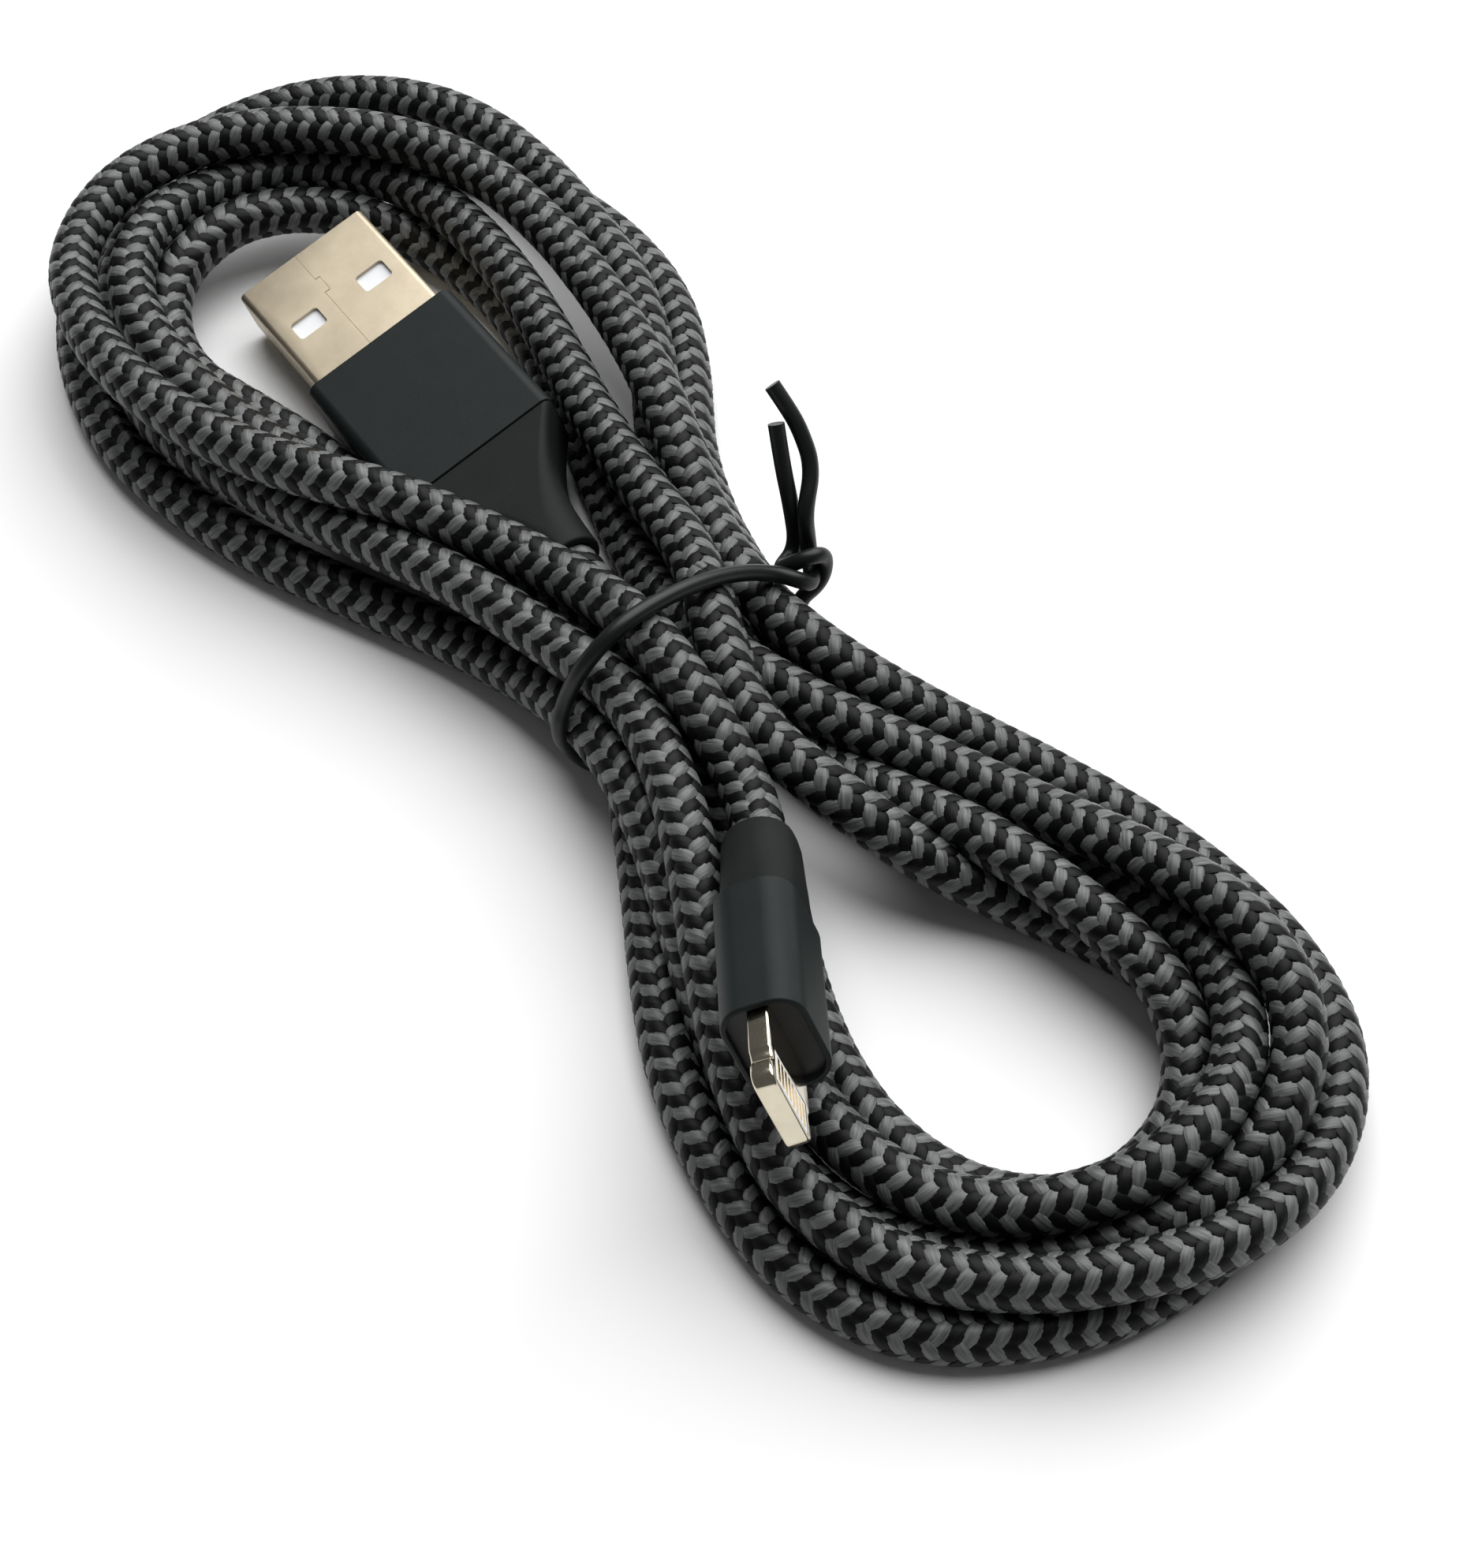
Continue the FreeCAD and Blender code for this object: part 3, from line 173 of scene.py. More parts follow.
# ------------------------------------------------------------------ where strands press on each other
def presses():
    """For each point of the line, up to five planes that its surface doesn't pass: half way to a strand it touches."""
    tree = KDTree(COUNT)
    for i, p in enumerate(line):
        tree.insert(p, i)
    tree.balance()
    mid = np.zeros((COUNT, 5, 3))
    nor = np.zeros((COUNT, 5, 3))
    for i, p in enumerate(line):
        near = [(d, j) for _, j, d in tree.find_range(p, 1.02 * CORD_D) if abs(i - j) > 40]
        near.sort()
        taken = []
        for d, j in near:
            if all(abs(j - k) > 40 for k in taken):
                taken.append(j)
                k = len(taken) - 1
                v = (line[j] - p) / max(d, 1e-9)
                mid[i, k] = p + v * (d / 2 - 0.03 * MM)
                nor[i, k] = v
                if k == 4:
                    break
    return mid, nor


PRESS_MID, PRESS_NOR = presses()


def pressed(points, station):
    """Moves surface points back behind the planes of their own station, and up off the floor."""
    p = points.copy()
    for k in range(5):
        n = PRESS_NOR[station, k]
        over = np.einsum("ij,ij->i", p - PRESS_MID[station, k], n)
        p -= n * np.clip(over, 0, None)[:, None] * (np.abs(n).sum(1) > 0)[:, None]
    p[:, 2] = np.maximum(p[:, 2], 0.02 * MM)
    return p


def mesh_object(name, verts, faces, materials, smooth=True, index=None):
    me = bpy.data.meshes.new(name)
    verts = np.asarray(verts, np.float32)
    faces = np.asarray(faces, np.int32)
    me.vertices.add(len(verts))
    me.vertices.foreach_set("co", verts.ravel())
    me.loops.add(faces.size)
    me.loops.foreach_set("vertex_index", faces.ravel())
    me.polygons.add(len(faces))
    me.polygons.foreach_set("loop_start", np.arange(0, faces.size, faces.shape[1], dtype=np.int32))
    me.update(calc_edges=True)
    for m in materials:
        me.materials.append(m)
    if index is not None:
        me.polygons.foreach_set("material_index", np.asarray(index, np.int32))
    me.polygons.foreach_set("use_smooth", np.full(len(faces), smooth))
    me.validate()
    return link(bpy.data.objects.new(name, me))


# ------------------------------------------------------------------ materials
def new_material(name):
    m = bpy.data.materials.new(name)
    m.use_nodes = True
    nt = m.node_tree
    b = nt.nodes["Principled BSDF"]
    return m, nt, b


def node(nt, kind, **values):
    n = nt.nodes.new(kind)
    for k, v in values.items():
        setattr(n, k, v)
    return n


def noise(nt, source, scale, detail=3.0, rough=0.55):
    n = node(nt, "ShaderNodeTexNoise")
    n.inputs["Scale"].default_value = scale
    n.inputs["Detail"].default_value = detail
    n.inputs["Roughness"].default_value = rough
    nt.links.new(source, n.inputs["Vector"])
    return n.outputs["Fac"]


def ramp(nt, source, stops):
    r = node(nt, "ShaderNodeValToRGB")
    while len(r.color_ramp.elements) < len(stops):
        r.color_ramp.elements.new(0.5)
    for e, (at, c) in zip(r.color_ramp.elements, stops):
        e.position = at
        e.color = (c[0], c[1], c[2], 1.0) if hasattr(c, "__len__") else (c, c, c, 1.0)
    nt.links.new(source, r.inputs["Fac"])
    return r.outputs["Color"]


def bump(nt, source, strength, distance, b, after=None):
    n = node(nt, "ShaderNodeBump")
    n.inputs["Strength"].default_value = strength
    n.inputs["Distance"].default_value = distance
    nt.links.new(source, n.inputs["Height"])
    if after is not None:
        nt.links.new(after, n.inputs["Normal"])
    nt.links.new(n.outputs["Normal"], b.inputs["Normal"])
    return n.outputs["Normal"]


def place(nt, scale=(1.0, 1.0, 1.0)):
    """Object coordinates in millimetres, stretched."""
    c = node(nt, "ShaderNodeTexCoord")
    m = node(nt, "ShaderNodeMapping")
    m.inputs["Scale"].default_value = tuple(1000.0 * s for s in scale)
    nt.links.new(c.outputs["Object"], m.inputs["Vector"])
    return m.outputs["Vector"]


def yarn_material(name, dark, light, rough, spec):
    """Bundle of fine filaments: streaks along the yarn, lighter and darker filaments."""
    m, nt, b = new_material(name)
    a = node(nt, "ShaderNodeAttribute", attribute_name="yarn")
    mp = node(nt, "ShaderNodeMapping")
    mp.inputs["Scale"].default_value = (15.0, 0.45, 1.0)
    nt.links.new(a.outputs["Vector"], mp.inputs["Vector"])
    f = noise(nt, mp.outputs["Vector"], 1.0, 4.0, 0.62)
    streak = ramp(nt, f, [(0.30, dark), (0.50, tuple((d + l) / 2 for d, l in zip(dark, light))), (0.70, light)])
    n2 = noise(nt, place(nt), 0.09, 2.0)
    patch = ramp(nt, n2, [(0.3, 0.80), (0.7, 1.12)])
    mix = node(nt, "ShaderNodeMix", data_type="RGBA", blend_type="MULTIPLY")
    mix.inputs["Factor"].default_value = 1.0
    nt.links.new(streak, mix.inputs["A"])
    nt.links.new(patch, mix.inputs["B"])
    nt.links.new(mix.outputs["Result"], b.inputs["Base Color"])
    b.inputs["Roughness"].default_value = rough
    b.inputs["Specular IOR Level"].default_value = spec
    bump(nt, f, 0.75, 0.00006, b)
    return m


def plastic_material(name, low, high, rough, grain=0.35, spec=0.5):
    """Moulded black plastic with a fine spark-eroded grain."""
    m, nt, b = new_material(name)
    p = place(nt)
    n1 = noise(nt, p, 0.35, 3.0)
    nt.links.new(ramp(nt, n1, [(0.3, low), (0.7, high)]), b.inputs["Base Color"])
    n2 = noise(nt, p, 14.0, 4.0, 0.6)
    nt.links.new(ramp(nt, n2, [(0.3, rough - 0.06), (0.7, rough + 0.06)]), b.inputs["Roughness"])
    b.inputs["Specular IOR Level"].default_value = spec
    bump(nt, n2, grain, 0.00003, b)
    return m


def metal_material(name, low, high, rough, stretch=(1.0, 1.0, 1.0), grain=0.15):
    """Drawn and plated sheet: faint mottling and fine rolling lines."""
    m, nt, b = new_material(name)
    n1 = noise(nt, place(nt, stretch), 0.7, 5.0, 0.6)
    nt.links.new(ramp(nt, n1, [(0.3, low), (0.7, high)]), b.inputs["Base Color"])
    n2 = noise(nt, place(nt, tuple(s * 1.0 for s in stretch)), 9.0, 4.0, 0.65)
    nt.links.new(ramp(nt, n2, [(0.3, rough - 0.07), (0.7, rough + 0.08)]), b.inputs["Roughness"])
    b.inputs["Metallic"].default_value = 1.0
    bump(nt, n2, grain, 0.00002, b)
    return m


GREY_YARN = yarn_material("yarn_grey", (0.042, 0.046, 0.045), (0.158, 0.166, 0.162), 0.42, 0.42)
BLACK_YARN = yarn_material("yarn_black", (0.0012, 0.0013, 0.0013), (0.0045, 0.0048, 0.0048), 0.5, 0.15)
CORE = plastic_material("cord_inside", (0.004, 0.004, 0.004), (0.008, 0.008, 0.008), 0.7)
BLACK = plastic_material("black_plastic", (0.0075, 0.0105, 0.0105), (0.0098, 0.0128, 0.0128), 0.50, spec=0.18)
BLACK_BOOT = plastic_material("black_boot", (0.0065, 0.0075, 0.0075), (0.0085, 0.0095, 0.0095), 0.62, spec=0.16)
SHELL = metal_material("shell_metal", (0.48, 0.415, 0.31), (0.54, 0.47, 0.355), 0.45, (1.0, 1.0, 1.0), 0.06)
TIP = metal_material("tip_metal", (0.60, 0.55, 0.43), (0.70, 0.64, 0.50), 0.15, grain=0.05)
GOLD = metal_material("contact_gold", (0.78, 0.55, 0.24), (0.88, 0.66, 0.34), 0.25)
STEEL = metal_material("ferrule_steel", (0.42, 0.42, 0.42), (0.52, 0.52, 0.52), 0.35)
WHITE = plastic_material("white_insulator", (0.80, 0.82, 0.84), (0.86, 0.87, 0.88), 0.4, 0.1)
NYLON = plastic_material("mould_nylon", (0.012, 0.012, 0.013), (0.018, 0.018, 0.019), 0.6)
BOARD = plastic_material("board_green", (0.008, 0.09, 0.03), (0.012, 0.13, 0.05), 0.35, 0.1)
CHIP = plastic_material("chip_black", (0.01, 0.01, 0.01), (0.015, 0.015, 0.015), 0.5, 0.2)
VINYL = plastic_material("tie_vinyl", (0.0060, 0.0072, 0.0072), (0.0085, 0.0100, 0.0100), 0.38, 0.12, spec=0.30)
LEADS = {
    "red": plastic_material("lead_red", (0.40, 0.012, 0.012), (0.5, 0.02, 0.02), 0.4, 0.1),
    "white": plastic_material("lead_white", (0.7, 0.7, 0.68), (0.8, 0.8, 0.78), 0.4, 0.1),
    "green": plastic_material("lead_green", (0.01, 0.2, 0.05), (0.02, 0.28, 0.07), 0.4, 0.1),
    "black": plastic_material("lead_black", (0.01, 0.01, 0.01), (0.016, 0.016, 0.016), 0.4, 0.1),
}


# ------------------------------------------------------------------ braid
RNG = np.random.default_rng(11)
HALF_W, HALF_T = 0.525 * MM, 0.125 * MM
R_MID, R_WAVE = 1.685 * MM, 0.110 * MM
# section of a yarn: across, up, share of the way round
SECTION = [(-1.0, -0.25), (-0.80, 0.55), (-0.02, 1.0), (0.80, 0.55), (1.0, -0.25), (0.5, -0.9), (-0.5, -0.9)]
ROUND = len(SECTION)
YARN_PHASE = RNG.uniform(0, 50, 16)


def braid(name, first, last):
    """The yarns of the cord between two stations: eight each way, two over and two under, grey and black by turns."""
    verts, faces, index, yarn_at, flat_uv = [], [], [], [], []
    lo, hi = max(first - 2, 0), min(last + 2, COUNT - 1)
    st = np.arange(lo, hi + 1)
    x = 16.0 * along[st] / PITCH
    used = slice(first - lo, first - lo + last - first + 1)
    base = 0
    for k in range(16):
        way, i = (1, k) if k < 8 else (-1, k - 8)
        theta = 2 * math.pi * (i / 8.0) + way * math.pi * 2 * x / 16.0
        if way > 0:
            c = np.cos(2 * math.pi * (x + 2 * i - 0.5) / 4.0)
        else:
            c = np.cos(2 * math.pi * (-x + 2 * i - 2.5) / 4.0)
        wave = np.sign(c) * np.abs(c) ** 0.5
        jig = 0.02 * MM * np.sin(along[st] / (3.1 * MM) + YARN_PHASE[k]) * np.sin(along[st] / (7.7 * MM) + 2 * YARN_PHASE[k])
        r = R_MID + R_WAVE * wave + jig
        radial = np.cos(theta)[:, None] * side[st] + np.sin(theta)[:, None] * up[st]
        p = line[st] + r[:, None] * radial
        t = unit(np.gradient(p, axis=0))
        w = unit(np.cross(t, radial))
        n = unit(np.cross(w, t))
        wide = HALF_W * (1.0 + 0.05 * wave + 0.04 * np.sin(along[st] / (2.3 * MM) + 3 * YARN_PHASE[k]))
        p, w, n, wide, s = p[used], w[used], n[used], wide[used], st[used]
        rings = np.stack([p + (a * wide)[:, None] * w + (b * HALF_T) * n for a, b in SECTION], axis=1)
        m = len(s)
        flat = pressed(rings.reshape(-1, 3), np.repeat(s, ROUND))
        verts.append(flat)
        q = np.arange(m - 1)[:, None] * ROUND + np.arange(ROUND)[None, :]
        q2 = np.arange(m - 1)[:, None] * ROUND + (np.arange(ROUND)[None, :] + 1) % ROUND
        f = np.stack([q, q2, q2 + ROUND, q + ROUND], axis=-1).reshape(-1, 4) + base
        if way > 0:
            pass
        faces.append(f)
        index.append(np.full(len(f), i % 2))
        across = np.tile(np.arange(ROUND) / ROUND, m)
        down = np.repeat(along[s] / MM * 1.75, ROUND)
        yarn_at.append(np.stack([across + 3.0 * k, down + YARN_PHASE[k], np.zeros(m * ROUND)], axis=1))
        # flat map: one strip for each yarn, side by side
        u0 = np.tile(np.arange(ROUND) / ROUND, (m - 1, 1))
        u1 = np.tile((np.arange(ROUND) + 1) / ROUND, (m - 1, 1))
        v0 = np.repeat(np.arange(m - 1)[:, None] / (m - 1), ROUND, axis=1)
        v1 = v0 + 1.0 / (m - 1)
        fit = lambda u: (k + 0.04 + 0.92 * u) / 16.0
        flat_uv.append(np.stack([np.stack([fit(u0), v0], -1), np.stack([fit(u1), v0], -1),
                                 np.stack([fit(u1), v1], -1), np.stack([fit(u0), v1], -1)], axis=2).reshape(-1, 2))
        base += m * ROUND
    o = mesh_object(name, np.concatenate(verts), np.concatenate(faces), [GREY_YARN, BLACK_YARN],
                    index=np.concatenate(index))
    me = o.data
    a = me.attributes.new("yarn", "FLOAT_VECTOR", "POINT")
    a.data.foreach_set("vector", np.concatenate(yarn_at).astype(np.float32).ravel())
    uv = me.uv_layers.new(name="OFBake", do_init=False)
    uv.uv.foreach_set("vector", np.concatenate(flat_uv).astype(np.float32).ravel())
    bm = bmesh.new()
    bm.from_mesh(me)
    ends = [e for e in bm.edges if e.is_boundary]
    bmesh.ops.holes_fill(bm, edges=ends, sides=ROUND + 1)
    bmesh.ops.recalc_face_normals(bm, faces=bm.faces)
    bm.to_mesh(me)
    bm.free()
    return o


def tube_mesh(name, points, radius, material, sides=20, lift=True, stations=None):
    """Closed round tube along points that are already close together."""
    points = np.asarray(points, float)
    t, n, b = frames(points)
    a = np.linspace(0, 2 * math.pi, sides, endpoint=False)
    rad = radius if np.ndim(radius) else np.full(len(points), radius)
    ring = points[:, None, :] + rad[:, None, None] * (np.cos(a)[None, :, None] * n[:, None, :] + np.sin(a)[None, :, None] * b[:, None, :])
    v = ring.reshape(-1, 3)
    if stations is not None:
        v = pressed(v, np.repeat(stations, sides))
    m = len(points)
    q = np.arange(m - 1)[:, None] * sides + np.arange(sides)[None, :]
    q2 = np.arange(m - 1)[:, None] * sides + (np.arange(sides)[None, :] + 1) % sides
    f = np.stack([q, q2, q2 + sides, q + sides], axis=-1).reshape(-1, 4)
    o = mesh_object(name, v, f, [material])
    bm = bmesh.new()
    bm.from_mesh(o.data)
    bmesh.ops.holes_fill(bm, edges=[e for e in bm.edges if e.is_boundary], sides=sides + 1)
    bmesh.ops.recalc_face_normals(bm, faces=bm.faces)
    bm.to_mesh(o.data)
    bm.free()
    return o


CUT = COUNT - 1 - int(round(31.5 * MM / STEP))     # the stretch behind the slim plug, built as pieces of its own
PARTS = 8
bounds = np.linspace(0, CUT, PARTS + 1).round().astype(int)
sleeves = [braid("braid_%02d" % (i + 1), int(bounds[i]), int(bounds[i + 1])) for i in range(PARTS)]
every = np.unique(np.concatenate([np.arange(0, CUT, 3), [CUT]]))
cord = tube_mesh("cord", line[every], 1.37 * MM, CORE, 16, stations=every)
for o in sleeves + [cord]:
    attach(o, "root")
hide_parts("cord_hank", "cord_tail_wide", "cord_tail_slim")

tail_braid = braid("tail_braid", CUT, COUNT - 1)
every = np.unique(np.concatenate([np.arange(CUT, COUNT - 1, 3), [COUNT - 1]]))
tail = tube_mesh("tail", line[every], 1.37 * MM, CORE, 16, stations=every)


# ------------------------------------------------------------------ hard pieces
def pose(origin, yaw, pitch, roll):
    return (Matrix.Translation(Vector(origin) * MM) @ Matrix.Rotation(math.radians(yaw), 4, "Z")
            @ Matrix.Rotation(math.radians(-pitch), 4, "Y") @ Matrix.Rotation(math.radians(roll), 4, "X"))


WIDE = pose((-44.730, -1.310, 4.340), -180.85, -1.4, -15.0)
SLIM = pose((24.947, -7.191, 9.901), -33.38, 15.85, -69.0)


def rounded(w, h, r, n=7):
    """Points of a rounded rectangle, millimetres."""
    r = min(r, w / 2 - 1e-4, h / 2 - 1e-4)
    out = []
    for cx, cy, a0 in ((w / 2 - r, h / 2 - r, 0), (-w / 2 + r, h / 2 - r, 90),
                       (-w / 2 + r, -h / 2 + r, 180), (w / 2 - r, -h / 2 + r, 270)):
        for i in range(n + 1):
            a = math.radians(a0 + 90.0 * i / n)
            out.append((cx + r * math.cos(a), cy + r * math.sin(a)))
    return out


def loft(name, stations, material, matrix, ring=False, sharp=38.0, n=7):
    """Skin through rounded rectangles (x, width, height, corner). ring closes the last to the first."""
    loops = [[(x, y, z) for y, z in rounded(w, h, r, n)] for x, w, h, r in stations]
    k = len(loops[0])
    bm = bmesh.new()
    vs = [[bm.verts.new(matrix @ (Vector(p) * MM)) for p in loop] for loop in loops]
    pairs = list(zip(vs[:-1], vs[1:])) + ([(vs[-1], vs[0])] if ring else [])
    for a, b in pairs:
        for i in range(k):
            bm.faces.new((a[i], a[(i + 1) % k], b[(i + 1) % k], b[i]))
    if not ring:
        bm.faces.new(vs[0])
        bm.faces.new(list(reversed(vs[-1])))
    bmesh.ops.recalc_face_normals(bm, faces=bm.faces)
    me = bpy.data.meshes.new(name)
    bm.to_mesh(me)
    bm.free()
    me.materials.append(material)
    me.polygons.foreach_set("use_smooth", np.ones(len(me.polygons), bool))
    me.set_sharp_from_angle(angle=math.radians(sharp))
    return link(bpy.data.objects.new(name, me))


def fillet(x, w, h, r, f, way, n=4):
    """Stations round an outer edge at x: way 1 where the piece ends there going up in x, -1 where it begins."""
    out = []
    for i in range(n + 1):
        a = math.radians(90.0 * i / n)
        d = f * (1 - math.cos(a))
        e = f * (1 - math.sin(a))
        out.append((x - way * e, w - 2 * d, h - 2 * d, max(r - d, 0.02)))
    return out if way > 0 else out[::-1]


def final(obj):
    """Applies what the object's modifiers make."""
    bpy.context.view_layer.update()
    made = obj.evaluated_get(bpy.context.evaluated_depsgraph_get())
    me = bpy.data.meshes.new_from_object(made)
    old = obj.data
    obj.modifiers.clear()
    obj.data = me
    bpy.data.meshes.remove(old)
    return obj


def cut_with(obj, tools):
    for t in tools:
        m = obj.modifiers.new("cut", "BOOLEAN")
        m.operation = "DIFFERENCE"
        m.solver = "EXACT"
        m.object = t
    final(obj)
    for t in tools:
        bpy.data.objects.remove(t)
    return obj


def block(name, x0, x1, y0, y1, z0, z1, matrix, corner=0.0):
    """Box with upright edges rounded, used to cut with."""
    bm = bmesh.new()
    pts = [((x0 + x1) / 2 + px, (y0 + y1) / 2 + py) for px, py in rounded(x1 - x0, y1 - y0, max(corner, 0.001), 5 if corner else 1)]
    lo = [bm.verts.new(matrix @ (Vector((px, py, z0)) * MM)) for px, py in pts]
    hi = [bm.verts.new(matrix @ (Vector((px, py, z1)) * MM)) for px, py in pts]
    for i in range(len(pts)):
        j = (i + 1) % len(pts)
        bm.faces.new((lo[i], lo[j], hi[j], hi[i]))
    bm.faces.new(list(reversed(lo)))
    bm.faces.new(hi)
    bmesh.ops.recalc_face_normals(bm, faces=bm.faces)
    me = bpy.data.meshes.new(name)
    bm.to_mesh(me)
    bm.free()
    return link(bpy.data.objects.new(name, me))


def soften(obj, width, angle=50.0, segments=2):
    m = obj.modifiers.new("edge", "BEVEL")
    m.width = width * MM
    m.segments = segments
    m.limit_method = "ANGLE"
    m.angle_limit = math.radians(angle)
    m.harden_normals = False
    final(obj)
    obj.data.polygons.foreach_set("use_smooth", np.ones(len(obj.data.polygons), bool))
    obj.data.set_sharp_from_angle(angle=math.radians(38))
    return obj


def weighted(obj, angle=30.0):
    """Shading that keeps large faces flat beside small ones."""
    obj.data.polygons.foreach_set("use_smooth", np.ones(len(obj.data.polygons), bool))
    obj.data.set_sharp_from_angle(angle=math.radians(angle))
    m = obj.modifiers.new("flat", "WEIGHTED_NORMAL")
    m.mode = "FACE_AREA"
    m.weight = 100
    m.keep_sharp = True
    return final(obj)


# wide plug: shell of folded sheet, with latch windows and the seam where its edges meet
shell = loft("wide_shell", fillet(0.0, 12.0, 4.5, 0.5, 0.06, 1)[::-1] + [(-16.2, 12.0, 4.5, 0.5), (-16.2, 11.4, 3.9, 0.3)]
             + [(-0.1, 11.4, 3.9, 0.3), (-0.03, 11.46, 3.96, 0.32)], SHELL, WIDE, ring=True)
tools = [block("window", -7.6, -5.6, s * 3.2 - 1.3, s * 3.2 + 1.3, z0, z1, WIDE, 0.35)
         for s in (-1, 1) for z0, z1 in ((1.6, 2.9), (-2.9, -1.6))]
G = 0.035
path = [(0.2, 0.52), (-3.3, 0.52), (-3.3, 0.1), (-5.0, 0.1), (-5.0, 0.6), (-12.45, 0.6)]
left, right = [], []
for i, (x, y) in enumerate(path):
    dirs = [(path[j + 1][0] - path[j][0], path[j + 1][1] - path[j][1]) for j in (i - 1, i) if 0 <= j < len(path) - 1]
    nx = ny = 0.0
    for dx, dy in dirs:
        n = math.hypot(dx, dy)
        nx, ny = (nx - dy / n, ny + dx / n)
    left.append((x + nx * G, y + ny * G))
    right.append((x - nx * G, y - ny * G))
outline = left + right[::-1]
bm = bmesh.new()
lo = [bm.verts.new(WIDE @ (Vector((x, y, 2.20)) * MM)) for x, y in outline]
hi = [bm.verts.new(WIDE @ (Vector((x, y, 2.50)) * MM)) for x, y in outline]
for i in range(len(outline)):
    j = (i + 1) % len(outline)
    bm.faces.new((lo[i], lo[j], hi[j], hi[i]))
for i in range(len(path) - 1):
    k = len(outline) - 1 - i
    bm.faces.new((lo[i], lo[i + 1], lo[k - 1], lo[k]))
    bm.faces.new((hi[i], hi[i + 1], hi[k - 1], hi[k]))
bmesh.ops.recalc_face_normals(bm, faces=bm.faces)
me = bpy.data.meshes.new("groove")
bm.to_mesh(me)
bm.free()
tools.append(link(bpy.data.objects.new("groove", me)))
cut_with(shell, tools)
old = shell.data
me = bpy.data.meshes.new("wide_shell")
me.from_pydata([v.co[:] for v in old.vertices], [], [tuple(p.vertices) for p in old.polygons])
me.materials.append(SHELL)
shell.data = me
bpy.data.meshes.remove(old)
flat = [(WIDE.to_3x3() @ Vector(d)).normalized() for d in ((0, 0, 1), (0, 1, 0), (1, 0, 0))]
for p in me.polygons:
    p.use_smooth = max(abs(p.normal.dot(d)) for d in flat) < 0.9998
me.set_sharp_from_angle(angle=math.radians(30))

# its moulded housing and boot
housing = loft("wide_housing", fillet(-12.55, 13.8, 6.2, 0.9, 0.22, 1)[::-1] + fillet(-27.2, 13.8, 6.2, 0.9, 0.1, -1)[::-1]
               + [(-27.2, 10.0, 4.0, 0.6), (-16.3, 10.0, 4.0, 0.6), (-16.25, 12.04, 4.54, 0.7), (-12.6, 12.04, 4.54, 0.7), (-12.55, 12.14, 4.64, 0.74)],
               BLACK, WIDE, ring=True)
boot_outer = [(0.03, 13.3, 5.75, 0.65), (0.0, 13.46, 5.9, 0.7), (-0.06, 13.54, 5.96, 0.72), (-0.5, 12.8, 6.0, 0.72), (-1.0, 12.0, 6.02, 0.74), (-1.9, 10.65, 6.04, 0.8), (-2.9, 9.3, 6.04, 0.88),
              (-4.0, 8.0, 6.02, 1.05), (-5.2, 7.0, 5.98, 1.35), (-6.5, 6.25, 5.88, 1.75), (-8.0, 5.7, 5.66, 2.2), (-9.5, 5.4, 5.4, 2.5), (-10.8, 5.22, 5.22, 2.58),
              (-11.25, 5.2, 5.2, 2.58), (-11.42, 5.08, 5.08, 2.52), (-11.5, 4.86, 4.86, 2.42)]
boot = loft("wide_boot", [(-27.25 + x, w, h, r) for x, w, h, r in boot_outer] + [(-38.75, 4.1, 4.1, 2.05), (-38.6, 3.9, 3.9, 1.95), (-33.5, 3.9, 3.9, 1.95), (-33.4, 5.0, 5.0, 2.5), (-27.22, 5.0, 5.0, 2.5)],
            BLACK_BOOT, WIDE, ring=True)
for o in (housing, boot):
    weighted(o, 40.0)

for o, n, s in ((shell, "wide_plug_shell", "shell_metal"), (housing, "wide_plug_housing", "black_plastic"), (boot, "wide_plug_boot", "black_plastic")):
    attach(o, "root")
    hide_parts(n)

# slim plug: tapered boot, moulded housing with a recessed front, and the bare tip
sboot_outer = [(0.02, 4.5, 4.2, 2.05), (0.12, 4.95, 4.6, 2.25), (0.45, 5.4, 4.95, 2.3), (1.0, 5.7, 5.1, 2.3), (2.2, 5.95, 5.15, 2.3), (3.8, 6.1, 5.2, 2.25), (5.1, 6.35, 5.25, 2.2),
               (6.1, 6.6, 5.2, 2.1), (7.0, 6.9, 5.22, 1.95), (7.6, 7.1, 5.2, 1.85), (7.78, 7.16, 5.2, 1.83), (7.86, 7.1, 5.14, 1.8), (7.88, 7.06, 5.1, 1.78)]
sboot = loft("slim_boot", [(0.02, 3.95, 3.95, 1.97)] + sboot_outer + [(9.0, 6.9, 4.6, 1.55), (9.05, 4.0, 3.95, 1.95)], BLACK_BOOT, SLIM, ring=True)
shousing = loft("slim_housing", fillet(7.9, 8.0, 5.7, 2.0, 0.4, -1) + fillet(19.8, 8.0, 5.7, 2.0, 0.2, 1)
                + [(19.8, 7.3, 5.0, 1.65), (19.74, 7.22, 4.92, 1.61), (8.4, 7.2, 4.9, 1.6), (7.92, 7.2, 4.9, 1.6)], BLACK, SLIM, ring=True)
for o in (sboot, shousing):
    weighted(o, 40.0)


